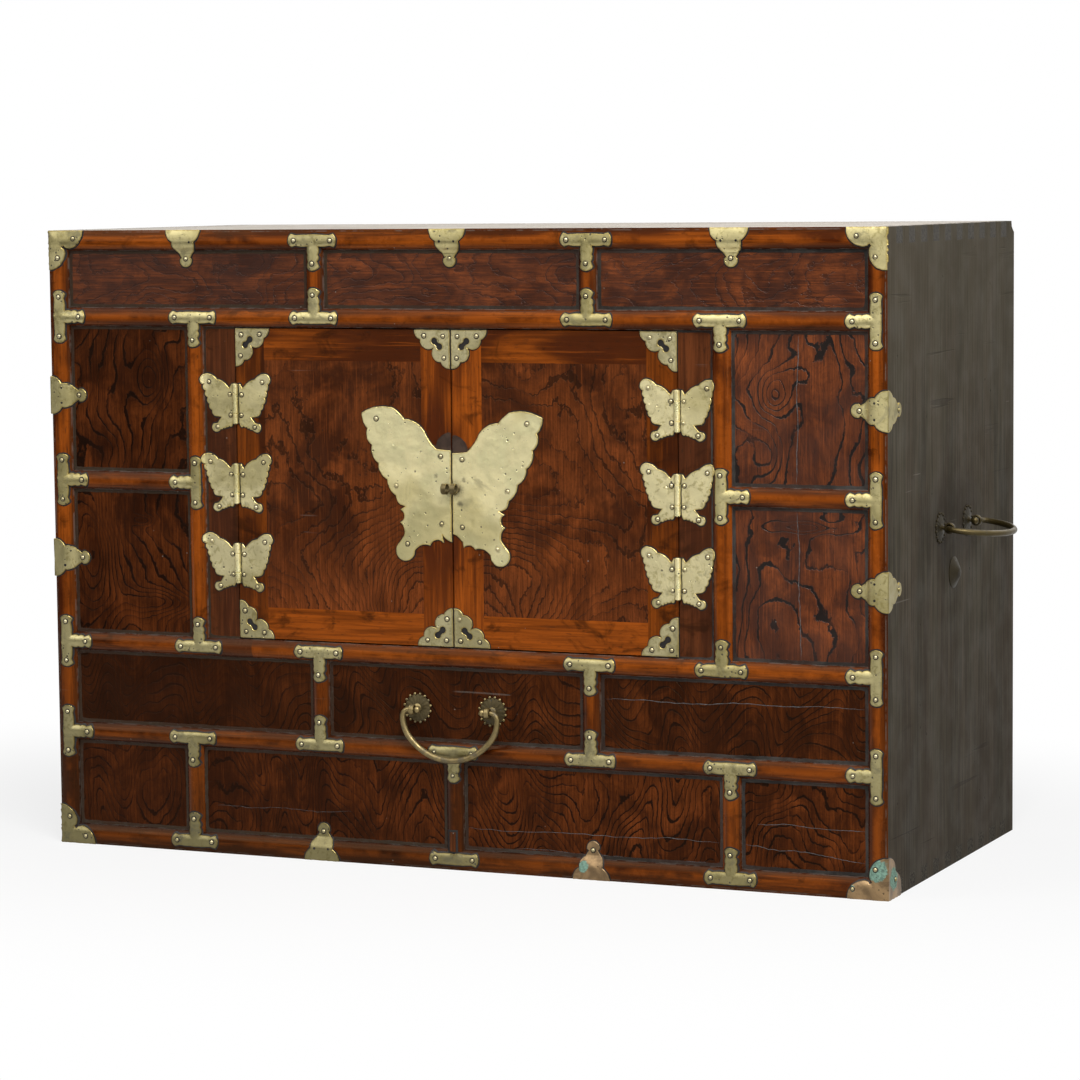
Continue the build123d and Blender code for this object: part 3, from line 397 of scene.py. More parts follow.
def lacquered_wood(
    name, light, dark, turn, gloss=0.17, seed=0.0, let_in=None, crowns=(), glow=0.0, streaky=0.65,
    outward=None,
):
    """Lacquered wood; crowns: lines its faces crest on, with painted highlight and shade; let_in: a dark run;
    outward: its tone by width.
    """
    nodes = Finish(name)
    place = nodes.place()
    x, _, z = nodes.apart(place)
    along = nodes.stretch(place, location=(seed, seed * 0.7, seed * 1.3), rotation=turn)
    tone, streak, fibre, pores = wood_grain(nodes, along)
    specks, scratches, rubbed, dents = old_wear(nodes, place)
    base = nodes.blend(tone, dark, light)
    if glow:
        base = nodes.blend(z.ramp(0.30, 0.23) * glow, base, tinted(light, 1.3))
    stain = nodes.noise(nodes.stretch(place, (1.0, 1.0, 1.6)), 30.0, 4.0, 0.62, 0.8)
    base = nodes.layered(
        base, (streak, streaky, tinted(dark, 0.65)), (fibre.ramp(0.42, 0.66), 0.45, tinted(dark, 0.8)),
        (fibre.ramp(0.44, 0.28), 0.35, tinted(light, 1.3)), (pores, 0.6, SOOT),
        (stain.ramp(0.54, 0.7), 0.7, tinted(dark, 0.3)),
    )
    if crowns:
        gaps = [abs((abs(x) if turn == ALONG_Z else z) - crown) for crown in crowns]
        off = gaps[0]
        for gap in gaps[1:]:
            off = off & gap
        broken = nodes.noise(place, 85.0, 3.0, 0.6).ramp(0.42, 0.6)
        # Crest: painted highlight along each crown line, partly rubbed wear too, broken by the rubbed noise.
        crest = off.ramp(0.0005, 0.0055, 1.0, 0.0) * rubbed.ramp(0.35, 0.6)
        # Arris: pale broken line at each member's edge, dust and a painted highlight of the edge.
        arris = abs(off - 0.0088).ramp(0.0002, 0.0008, 1.0, 0.0) * broken
        # Darker towards each member's edges: painted shade of its rounded face, and grime in the joint.
        base = nodes.layered(
            base, (crest, 0.5, tinted(light, 1.45)), (off.ramp(0.0055, 0.0082), 0.62, tinted(dark, 0.45)),
            (arris, 0.42, (0.16, 0.14, 0.12)),
        )
    if let_in:
        base = nodes.layered(base, ((x > let_in[0]) * (x < let_in[1]), 0.72, (0.035, 0.011, 0.006)))
    # Painted shade: members darker towards the bottom, most at the left, as the light falls off from the
    # upper right.
    if crowns:
        base = nodes.blend(1.0, base, z.ramp(0.0, 0.3, x.ramp(-0.1, 0.4, 0.42, 0.78), 1.0), "MULTIPLY")
    if outward:
        base = nodes.blend(1.0, base, abs(x).ramp(0.05, 0.19, *outward), "MULTIPLY")
    base = nodes.layered(base, (dents, 0.75, SOOT), (scratches, 0.4, DUST), (specks, 0.6, DUST))
    normal = nodes.bump(fibre * 0.35 + rubbed - dents * 0.8, 0.0003, 0.5)
    rough = rubbed.ramp(0.3, 0.75, gloss, gloss + 0.18)
    return nodes.done(base, rough, normal, Specular_IOR_Level=0.21, Specular_Tint=SHELLAC)


def figured_wood(
    name, wood, figure, stiles=(), eyes=(), contrast=0.9, warmth=1.0, blotch=0.8, curl=0.35, field=None,
    glow=None, painted_left_shade=0.0, turn=ALONG_Z, shine=0.2, tint=SHELLAC,
):
    """Figured zelkova; figure holds the figure group's own inputs, stiles part its panels."""
    nodes = Finish(name)
    place = nodes.place()
    x, _, z = nodes.apart(place)
    grain_way = nodes.stretch(place, rotation=turn)
    figure = dict(figure)
    if stiles:
        figure["Shift"] = total([x > line for line in stiles]) * 3.3 + figure["Shift"]
    knots = [
        figure_eye(nodes, place, X=at_x, Z=at_z, Across=across, Along=along, Rise=rise)
        for at_x, at_z, across, along, rise in eyes
    ]
    swells, hearts = zip(*knots) if knots else ((), ())
    offsets = [*swells] + ([field(nodes, x, z)] if field else [])
    if offsets:
        figure["Eyes"] = total(offsets)
    line, shade, fine, patch, curls = zelkova_figure(nodes, grain_way, **figure)
    _, _, fibre, pores = wood_grain(nodes, grain_way, Fibre_Scale=620.0)
    specks, scratches, rubbed, dents = old_wear(nodes, place, Speck_Share=0.8)
    light, dark, ink = tinted(wood.panel_light, warmth), tinted(wood.panel_dark, warmth), tuple(wood.line)
    warm = nodes.noise(place, 24.0, 3.0, 0.6, 0.5).ramp(0.52, 0.7)
    if glow:
        warm = warm | glow(z)
    base = nodes.layered(
        nodes.blend(patch * blotch, light, dark), (warm, 0.55, tinted(light, 1.75)),
        (curls, curl, tinted(dark, 0.8)), (shade, 0.6, dark), (fine, 0.36, dark),
        (fibre.ramp(0.42, 0.68), 0.5, dark), (fibre.ramp(0.44, 0.28), 0.3, tinted(light, 1.5)),
        (pores, 0.6, ink), (line, contrast, ink), *[(heart, 0.35, dark) for heart in hearts],
    )
    # Painted shade: darker towards the left, away from the key light.
    if painted_left_shade:
        base = nodes.layered(base, (x.ramp(0.3, -0.4), painted_left_shade, tinted(dark, 0.8)))
    base = nodes.layered(base, (dents, 0.4, ink), (scratches, 0.35, DUST), (specks, 0.55, DUST))
    normal = nodes.bump(rubbed - line * 0.7 + fibre * 0.3, 0.0005, 0.65)
    rough = rubbed.ramp(0.3, 0.75, WOOD_GLOSS, WOOD_GLOSS + 0.25)
    return nodes.done(base, rough, normal, Specular_IOR_Level=shine, Specular_Tint=tint)


def bare_board(
    name, light, dark, turn, rough=0.6, ends=False, soot_and_painted_light=False, shine=0.06, reddish=(0.070, 0.043, 0.028)
):
    """Unfigured board of the case, dry and scuffed; with ends, its fingers show end grain; the side flag adds
    handle grime and painted light.
    """
    nodes = Finish(name)
    place = nodes.place()
    x, y, z = nodes.apart(place)
    along = nodes.stretch(place, location=(0.3, 0.1, 0.2), rotation=turn)
    tone, _, fibre, _ = wood_grain(nodes, along, Fibre_Scale=300.0)
    specks, scratches, rubbed, dents = old_wear(nodes, place, Scratch_Depth=1.0)
    broad = nodes.noise(nodes.stretch(along, (34.0, 34.0, 2.6), (1.0, 5.0, 2.0)), 1.0, 4.0, 0.68, 0.5)
    hair = nodes.noise(nodes.stretch(along, (360.0, 360.0, 9.0), (1.0, 5.0, 2.0)), 1.0, 3.0, 0.6, 0.3)
    marks = nodes.stretch(place, (3.0, 4.5, 130.0), (2.0, 0.0, 1.0), (0.1, 0.0, 0.0))
    gouge = nodes.noise(marks, 1.0, 2.0, 0.5, 0.3).ramp(0.66, 0.70)
    gouge = gouge * nodes.noise(place, 6.0, 1.0).ramp(0.5, 0.6)
    base = nodes.layered(
        nodes.blend(broad.ramp(0.34, 0.66), dark, light), (tone, 0.3, reddish),
        (hair.ramp(0.48, 0.62), 0.55, tinted(dark, 0.6)), (hair.ramp(0.5, 0.36), 0.3, tinted(light, 1.35)),
        (fibre.ramp(0.45, 0.7), 0.35, dark), (gouge, 0.5, SOOT), (dents, 0.6, SOOT), (scratches, 0.3, DUST),
        (specks, 0.35, DUST),
    )
    if soot_and_painted_light:
        flat = nodes.out("ShaderNodeCombineXYZ", {1: y, 2: z})
        cloudy = nodes.length(nodes.stretch(flat, (1.0, 1.0, 1.9), (0.0, 0.0, -0.608)))
        cloudy = cloudy + nodes.noise(place, 22.0, 3.0) * 0.08
        # Black grime round the side handle; painted shade darker towards the bottom, painted light paler
        # towards the top.
        base = nodes.layered(
            base, (cloudy.ramp(0.07, 0.17, 1.0, 0.0), 0.5, SOOT),
            (z.ramp(0.4, 0.02), 0.45, (0.035, 0.028, 0.02)), (z.ramp(0.3, 0.6), 0.5, tinted(light, 1.35)),
        )
    low = rubbed.ramp(0.3, 0.7, rough, rough + 0.2)
    if ends:
        out = abs(x) > BOARD_END
        grainy = nodes.noise(place, 700.0, 2.0).ramp(0.3, 0.7)
        base = nodes.blend(out, base, nodes.blend(grainy, (0.03, 0.027, 0.022), (0.085, 0.075, 0.06)))
        low = low | out * 0.95
    normal = nodes.bump(hair * 0.6 + rubbed - (gouge | dents), 0.0005, 0.7)
    return nodes.done(base, low, normal, Specular_IOR_Level=shine)


def border_strip(name, wood):
    """Blue-black strip, waxed and rubbed, with dust and a painted highlight along the members and a painted
    reflection towards the right.
    """
    nodes = Finish(name)
    place = nodes.place()
    x, _, _ = nodes.apart(place)
    specks, _, rubbed, _ = old_wear(nodes, place, Speck_Share=1.0)
    base = nodes.blend(rubbed.ramp(0.4, 0.7), tinted(wood.border, 0.45), tinted(wood.border, 1.5))
    # Painted reflection: brown at the left, going over to the greyer border colour towards the right, where
    # light from the right is mirrored.
    base = nodes.blend(x.ramp(-0.15, 0.3), (0.036, 0.022, 0.012), base)
    fine = nodes.noise(place, 240.0, 3.0, 0.6).ramp(0.5, 0.7)
    # Pale broken line along the members: dust, and a painted highlight of the edge.
    dust_and_highlight = nodes.attribute("edge").ramp(0.25, 0.02) * nodes.noise(place, 70.0, 3.0, 0.6).ramp(0.42, 0.58)
    bare = nodes.noise(place, 11.0, 3.0, 0.6).ramp(0.44, 0.6)
    base = nodes.layered(
        base, (bare, 0.5, (0.036, 0.013, 0.006)), (fine, 0.25, tinted(wood.border, 1.8)),
        (dust_and_highlight, 0.45, (0.15, 0.135, 0.115)), (specks, 0.5, DUST),
    )
    rough = rubbed.ramp(0.3, 0.7, 0.36, 0.62)
    return nodes.done(base, rough, nodes.bump(rubbed, 0.0006, 0.8), Specular_IOR_Level=0.14)


def sheet_brass(
    name, clean, dull, pits=0.65, clouds=55.0, dull_from=0.55, rough=0.28, stained=True, smudged=0.6,
    fall=None,
):
    """Old sheet brass, cloudy and pitted, yellower at its rim and dark where it is stained, with painted
    shade at its rim and low down.
    """
    nodes = Finish(name)
    place = nodes.place()
    x, _, z = nodes.apart(place)
    cloud, pit, height = brass_patina(nodes, place, Pit_Share=pits, Cloud_Scale=clouds)
    dirty = duller = cloud.ramp(dull_from, dull_from + 0.16)
    aged = nodes.noise(place, 13.0, 2.0, 0.6).ramp(0.46, 0.62) | (abs(x) > FOLDED_SIDE) * 1.7
    smudge = nodes.noise(place, 150.0, 4.0, 0.72, 0.9).ramp(0.52, 0.66)
    olive = (clean[0] * 0.46, clean[1] * 0.43, clean[2] * 0.26)
    # Olive below 17 cm, towards the floor, is painted shade; the aged mask adds olive clouds and the parts
    # folded onto the sides.
    base = nodes.layered(
        nodes.blend(cloud.ramp(0.3, 0.58), tinted(clean, 1.18), clean),
        (aged | z.ramp(0.17, 0.0, 0.0, 0.9), 0.5, olive), (smudge, smudged, olive), (duller, 0.65, dull),
    )
    if stained:
        spread = nodes.noise(place, 260.0, 3.0, 0.6)
        # Rim: yellower, darker edge within a few millimetres, tarnish and painted shade of the plate's
        # rounded edge.
        rim = (nodes.attribute("edge") + spread * 0.6).ramp(0.88, 0.32)
        spot = (nodes.attribute("stain") + (spread - 0.5) * 0.9).ramp(0.35, 0.95)
        rim_colour = (clean[0] * 0.6, clean[1] * 0.5, clean[2] * 0.24)
        base = nodes.layered(base, (rim, 0.75, rim_colour), (spot, 0.8, tinted(dull, 0.35)))
        dirty = duller | spot
    base = nodes.layered(base, (pit, 0.85, (0.03, 0.024, 0.012)))
    # Painted shade: fall darkens the plate towards the bottom and the left.
    if fall:
        darker = z.ramp(0.0, 0.42, fall[0], 1.0) * x.ramp(-0.4, 0.4, fall[1], 1.0)
        base = nodes.blend(1.0, base, darker, "MULTIPLY")
    metal = 0.74 - (pit | dirty * 0.6) * 0.6
    roughness = (cloud + dirty * 0.2).ramp(0.3, 0.8, rough, rough + 0.24)
    return nodes.done(base, roughness, nodes.bump(height, 0.0005, 0.5), Metallic=metal)


def green_copper(name, brass):
    """Coppery plate with verdigris spread from its outer corner and its nails."""
    nodes = Finish(name)
    place = nodes.place()
    cloud, pit, height = brass_patina(nodes, place, Pit_Share=0.8, Cloud_Scale=60.0)
    near = []
    for centre, reach in (
        ((0.4145, -0.193, 0.028), 0.017), ((0.4255, -0.181, 0.018), 0.016),
        ((0.3925, -0.193, 0.0095), 0.006), ((0.1315, -0.193, 0.0115), 0.0085),
    ):
        away = nodes.out("ShaderNodeVectorMath", {0: place, 1: centre}, "Value", operation="DISTANCE")
        near.append(away.ramp(reach * 0.35, reach, 0.85, 0.0))
    amount = near[0] | near[1] | near[2] | near[3]
    green = (nodes.noise(place, 150.0, 4.0, 0.65, 0.5) + amount).ramp(0.86, 1.08)
    copper = nodes.blend(cloud.ramp(0.35, 0.65), (0.30, 0.195, 0.095), (0.14, 0.09, 0.045))
    uneven = nodes.noise(place, 420.0, 3.0).ramp(0.35, 0.65)
    tint = nodes.blend(uneven, tuple(brass.verdigris), tinted(brass.verdigris, 0.5))
    base = nodes.layered(nodes.blend(green, copper, tint), (pit, 0.7, (0.03, 0.02, 0.012)))
    normal = nodes.bump(height + green * nodes.noise(place, 500.0, 3.0), 0.0005, 0.7)
    return nodes.done(base, 0.42 + green * 0.4, normal, Metallic=0.8 - green * 0.8)


def dull_fill(name, shade, rough=0.7, scale=220.0, shine=0.3):
    """Wax, dirt and filler: dull and uneven."""
    nodes = Finish(name)
    cloud = nodes.noise(nodes.place(), scale, 4.0, 0.6)
    base = nodes.blend(cloud.ramp(0.3, 0.7), tinted(shade, 0.6), tinted(shade, 1.4))
    return nodes.done(base, rough, nodes.bump(cloud, 0.0003, 0.6), Specular_IOR_Level=shine)


def fan_lines(nodes, x, z):
    """Extra growth lines of the doors: they spread like a fan from each panel's foot."""
    return nodes.math("ARCTAN2", z - 0.215, abs(x) - 0.075) * 6.5 * z.ramp(0.36, 0.27)


def turn_low(nodes, x, z):
    """Below the mid rail the right column's lines lie down."""
    return (z < MID_RAIL * MM) * (z * 30.0 - x * 42.0)


def low_glow(z):
    """Warmer wood towards the feet of the doors."""
    return z.ramp(0.33, 0.24, 0.0, 0.75)


def make_woods(wood):
    """Finishes of the wooden parts, by a short name."""
    light, dark = tuple(wood.frame_light), tuple(wood.frame_dark)
    case = (tuple(wood.case_light), tuple(wood.case_dark))
    band = (tinted(light, 0.95), tinted(dark, 0.85))
    across = [line * MM for line in (CROWN_LINE, *RAILS[:2], MID_RAIL, RAILS[2], HEIGHT - CROWN_LINE)]
    upright = [line * MM for line in (0.0, -ROW_STILES[0], POST, -FOOT_STILES[0], HALF - CROWN_LINE)]
    rows, foot = [x * MM for x in ROW_STILES], [x * MM for x in FOOT_STILES]
    low = dict(
        Slope_X=4.0, Slope_Z=100.0, Sway=1.2, Across=12.0, Along=10.0, Wave=1.7, Wave_Count=92.0, Shift=3.0
    )
    foot_figure = low | dict(
        Slope_X=14.0, Slope_Z=-62.0, Sway=2.6, Wave=2.2, Wave_Count=74.0, Ragged=0.9, Shift=9.0
    )
    top = low | dict(Slope_X=25.0, Slope_Z=30.0, Sway=3.0, Wave=0.5, Ragged=1.4, Shift=5.0)
    right_column = dict(Slope_X=52.0, Slope_Z=0.0, Sway=2.6, Across=11.0, Along=9.0, Ragged=0.7, Shift=1.0)
    left_column = right_column | dict(Slope_X=-58.0, Sway=2.2, Shift=6.0)
    door = dict(Slope_X=22.0, Slope_Z=20.0, Sway=3.2, Across=8.0, Along=7.0, Ragged=1.3, Shift=7.0)
    right_eyes = [
        (0.318, 0.449, 0.013, 0.018, 3.2), (0.312, 0.395, 0.016, 0.02, -2.4),
        (0.345, 0.331, 0.034, 0.005, 2.4), (0.332, 0.195, 0.062, 0.095, 9.0),
    ]
    left_eyes = [
        (-0.319, 0.456, 0.016, 0.026, 4.4), (-0.372, 0.386, 0.022, 0.025, 2.8),
        (-0.386, 0.285, 0.02, 0.055, 4.6), (-0.329, 0.319, 0.012, 0.005, 3.0),
        (-0.305, 0.24, 0.05, 0.012, 4.0),
    ]
    return {
        "frame_x": lacquered_wood("Frame wood across", light, dark, ALONG_X, crowns=across),
        "frame_z": lacquered_wood("Frame wood upright", light, dark, ALONG_Z, seed=2.0, crowns=upright),
        "sill": lacquered_wood(
            "Sill rail wood", light, dark, ALONG_X, seed=5.0, let_in=(-0.2595, -0.2105), crowns=across
        ),
        "band_x": lacquered_wood("Door rail wood", *band, ALONG_X, DOOR_GLOSS, 3.0, glow=0.85, streaky=0.4),
        "band_z": lacquered_wood(
            "Door stile wood", *band, ALONG_Z, DOOR_GLOSS, 4.0, glow=0.4, streaky=0.4, outward=(1.25, 0.68)
        ),
        "strip": lacquered_wood(
            "Hinge strip wood", (0.125, 0.034, 0.010), (0.045, 0.012, 0.005), ALONG_Z, DOOR_GLOSS, 6.0
        ),
        "panel_right": figured_wood(
            "Right column zelkova", wood, right_column, eyes=right_eyes, field=turn_low, contrast=1.0,
            shine=0.29, tint=CLOUDY,
        ),
        "panel_left": figured_wood(
            "Left column zelkova", wood, left_column, eyes=left_eyes, warmth=0.55, shine=0.09
        ),
        "panel_low": figured_wood(
            "Row panel zelkova", wood, low, rows, contrast=0.85, warmth=0.52, painted_left_shade=0.65, shine=0.12
        ),
        "panel_top": figured_wood(
            "Top row zelkova", wood, top, rows, turn=ALONG_X, contrast=0.3, warmth=0.9, curl=0.6, painted_left_shade=0.15,
            shine=0.25, tint=CLOUDY,
        ),
        "panel_foot": figured_wood(
            "Foot row zelkova", wood, foot_figure, foot, contrast=0.95, warmth=0.66, painted_left_shade=0.4, shine=0.1
        ),
        "panel_door": figured_wood(
            "Door panel zelkova", wood, door, [0.0], contrast=0.6, warmth=0.95, blotch=0.9, curl=0.28,
            field=fan_lines, glow=low_glow, shine=0.22,
        ),
        "border": border_strip("Border strip", wood),
        "side": bare_board("Side board wood", *case, ALONG_Z, soot_and_painted_light=True),
        # Painted reflection: the top board's pale colours stand partly for its own pale surface, partly for
        # the bright light it mirrors at a grazing angle.
        "top": bare_board(
            "Top board wood", (0.46, 0.41, 0.34), (0.28, 0.24, 0.19), ALONG_X, 0.4, ends=True, shine=0.42,
            reddish=(0.34, 0.27, 0.2),
        ),
        "end": bare_board("Base board wood", *case, ALONG_X, ends=True),
        "back": bare_board(
            "Back board wood", (0.20, 0.145, 0.095), (0.085, 0.058, 0.038), ALONG_Z, reddish=(0.16, 0.1, 0.06)
        ),
        "patch": lacquered_wood(
            "Patch wood", (0.13, 0.036, 0.010), (0.05, 0.013, 0.004), ALONG_Z, gloss=0.45, seed=8.0
        ),
    }


def make_metals(brass):
    """Finishes of the fittings, by a short name."""
    pale, dull, bronze = tuple(brass.pale), tuple(brass.tarnish), tuple(brass.bronze)
    bracket = (pale[0] * 0.76, pale[1] * 0.745, pale[2] * 0.65)
    finishes = {
        "brass": sheet_brass("Plate brass", tinted(pale, 1.1), dull, fall=(0.45, 0.88)),
        "brass_bracket": sheet_brass("Bracket brass", bracket, dull, 0.8, dull_from=0.52, fall=(0.5, 0.76)),
        "brass_lock": sheet_brass("Lock plate brass", tinted(pale, 1.16), dull, 1.5, 26.0, 0.6, smudged=0.2),
        "brass_aged": sheet_brass(
            "Door corner brass", tinted(pale, 0.74), dull, 0.8, 80.0, 0.5, fall=(0.8, 0.95)
        ),
        "green": green_copper("Verdigris copper", brass),
        # Wax and grime, dark; it also stands for painted shade round plates, nails and knuckles and in slots
        # and holes.
        "dirt": dull_fill("Wax and dirt", (0.010, 0.008, 0.007), 0.55),
        "trace": dull_fill("Old metal trace", (0.044, 0.027, 0.019), 0.6, 90.0, 0.15),
        "crack": dull_fill("Grey filler", (0.085, 0.080, 0.078), 0.7, 500.0),
    }
    for key, name, *look in (
        # Lighter copy of the plate brass, for the knuckles.
        ("brass_bright", "Rubbed brass", tinted(pale, 1.2), dull, 0.1, 55.0, 0.66, 0.24),
        ("bronze", "Handle bronze", bronze, (0.05, 0.042, 0.028), 0.2, 90.0, 0.5, 0.28),
        ("bronze_dark", "Dark bronze", tinted(bronze, 0.34), (0.03, 0.024, 0.017), 0.3, 90.0, 0.55, 0.42),
        ("bronze_side", "Side bail bronze", tinted(bronze, 0.5), (0.03, 0.026, 0.02), 0.3, 90.0, 0.55, 0.34),
        ("mount_dark", "Side mount bronze", tinted(bronze, 0.2), (0.02, 0.017, 0.013), 0.3, 90.0, 0.55, 0.5),
        ("nails", "Nail brass", (0.46, 0.40, 0.24), (0.14, 0.115, 0.065), 0.1, 160.0, 0.6, 0.24),
    ):
        finishes[key] = sheet_brass(name, *look, stained=False)
    return finishes


FINISHES = {}


def finish_for(name):
    """One finish by its short name; all are made at the first call."""
    if not FINISHES:
        FINISHES.update(make_woods(bpy.context.scene.chest_wood))
        FINISHES.update(make_metals(bpy.context.scene.chest_brass))
    return FINISHES[name]


def paint(node, finish):
    """Gives a node of the frame its finish."""
    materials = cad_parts[node].data.materials
    materials.clear()
    materials.append(finish_for(finish))


# ------------------------------------------------------------------ shapes

def crown_fall(distance, level):
    """Fall of an inner member's face at a distance from its crown line, and the slope down to a level."""
    if distance <= HALF_MEMBER:
        return CROWN_RADIUS - math.sqrt(CROWN_RADIUS**2 - distance**2)
    return LIP + (level - LIP) * min(1.0, (distance - HALF_MEMBER) / SLOPE)


def outer_fall(inset, level):
    """The same for an outer member, by the distance in from its arris."""
    out = CROWN_LINE - inset
    if out > 0:
        return OUTER_RADIUS - math.sqrt(OUTER_RADIUS**2 - out**2)
    return crown_fall(-out, level)


def relief(x, z):
    """Y of the front's face at a point, with a plate's slopes beside the members."""
    wide = abs(x)
    level = DOOR_LEVEL if wide < POST and RAILS[1] < z < RAILS[2] else PANEL_LEVEL
    gaps = [abs(z - rail) for rail in RAILS]
    if wide >= POST:
        gaps.append(abs(z - MID_RAIL))
    if RAILS[1] <= z <= RAILS[2]:
        gaps.append(abs(wide - POST))
    else:
        gaps += [abs(x - stile) for stile in (FOOT_STILES if z <= RAILS[0] else ROW_STILES)]
    outer = outer_fall(max(0.0, min(HALF - wide, z, HEIGHT - z)), level)
    return FRONT + min(outer, *[crown_fall(gap, level) for gap in gaps])


def frame_face(u, z):
    """Point and outward direction on the front, or past its side arrises on a side board."""
    past = abs(u) - HALF
    side = math.copysign(1.0, u)
    z = max(0.0, min(HEIGHT, z))
    if past > 0.01:
        return Vector((side * HALF, FRONT + ARRIS_DROP + past, z)), Vector((side, 0, 0))
    if past > -0.01:
        return Vector((side * HALF, FRONT + ARRIS_DROP, z)), Vector((side, -1, 0))
    return Vector((u, relief(u, z), z)), Vector((0, -1, 0))


def door_face(x, z):
    """Point and outward direction on the flat front of the doors."""
    return Vector((x, DOOR_Y, z)), Vector((0, -1, 0))


def outline_points(points, step=1.5):
    """Points along an anticlockwise outline of (x, y, rise); rise bulges the next stretch outwards."""
    found = []
    for (x0, y0, rise), (x1, y1, _) in zip(points, points[1:] + points[:1]):
        dx, dy = x1 - x0, y1 - y0
        chord = math.hypot(dx, dy)
        if abs(rise) < 1e-6:
            count = max(1, round(chord / step))
            found += [(x0 + dx * i / count, y0 + dy * i / count) for i in range(count)]
            continue
        along, out = Vector((dx, dy)) / chord, Vector((dy, -dx)) / chord
        half_turn = 2 * math.atan(2 * rise / chord)
        radius = chord / 2 / math.sin(half_turn)
        centre = Vector(((x0 + x1) / 2, (y0 + y1) / 2)) + out * (rise - radius)
        count = max(3, round(abs(2 * half_turn * radius) / step))
        for i in range(count):
            turn = half_turn * (2 * i / count - 1)
            found.append(tuple(centre + out * radius * math.cos(turn) + along * radius * math.sin(turn)))
    return found


def laid(points, change, over=False):
    """An outline or nail places put elsewhere; one turned over is listed backwards, still anticlockwise."""
    found = [(*change(*point[:2]), *point[2:]) for point in points]
    if not over or not found or len(found[0]) < 3:
        return found
    rises = [point[2] for point in found]
    return [(x, y, rises[i - 1]) for i, (x, y, _) in reversed(list(enumerate(found)))]


def mirrored(half, closing=0.0):
    """Closed outline from its lower half, mirrored in the line y = 0."""
    upper = laid(half, lambda x, y: (x, -y), True)
    return half + upper[:-1] + [(*upper[-1][:2], closing)]


def twinned(half):
    """Closed outline from its half below the diagonal, whose ends lie on the diagonal."""
    return half[:-1] + laid(half, lambda x, y: (y, x), True)[:-1]


def swung(points, x, z, turn):
    """A plate's outline or nail places on the front; turn is where its stem points."""
    return laid(points, {
        RIGHT: lambda a, b: (x + a, z + b), DOWN: lambda a, b: (x + b, z - a),
        LEFT: lambda a, b: (x - a, z - b), UP: lambda a, b: (x - b, z + a),
    }[turn])


def moved(points, dx, dz):
    """An outline or nail places shifted over the front."""
    return laid(points, lambda x, z: (x + dx, z + dz))


def flipped(points):
    """The same on the other side of the chest."""
    return laid(points, lambda x, z: (-x, z), True)


def upended(points):
    """The same at the other end of the height."""
    return laid(points, lambda x, z: (x, HEIGHT - z), True)


def ripple(x, y, z):
    """Smooth unevenness between -1 and 1."""
    return noise.noise(Vector((x, y, z)))


def grid(rows, columns, closed=False, inwards=False):
    """Faces between rows of points, each row closed in a ring."""
    faces = []
    for row in range(rows if closed else rows - 1):
        for i in range(columns):
            j, above = (i + 1) % columns, (row + 1) % rows
            face = [row * columns + i, row * columns + j, above * columns + j, above * columns + i]
            faces.append([face[0], *reversed(face[1:])] if inwards else face)
    return faces


def spokes(across, other, sides, start=0.0):
    """Directions evenly spread round an axis."""
    turns = [2 * math.pi * (i + start) / sides for i in range(sides)]
    return [across * math.cos(turn) + other * math.sin(turn) for turn in turns]


def linked(name, data):
    """New object in the scene."""
    data.name = name[0].upper() + name[1:]
    thing = bpy.data.objects.new(data.name, data)
    bpy.context.scene.collection.objects.link(thing)
    return thing


def handed_over(thing, body, replaces):
    """The finished piece, riding on its body."""
    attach(thing, body)
    if replaces:
        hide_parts(*replaces)


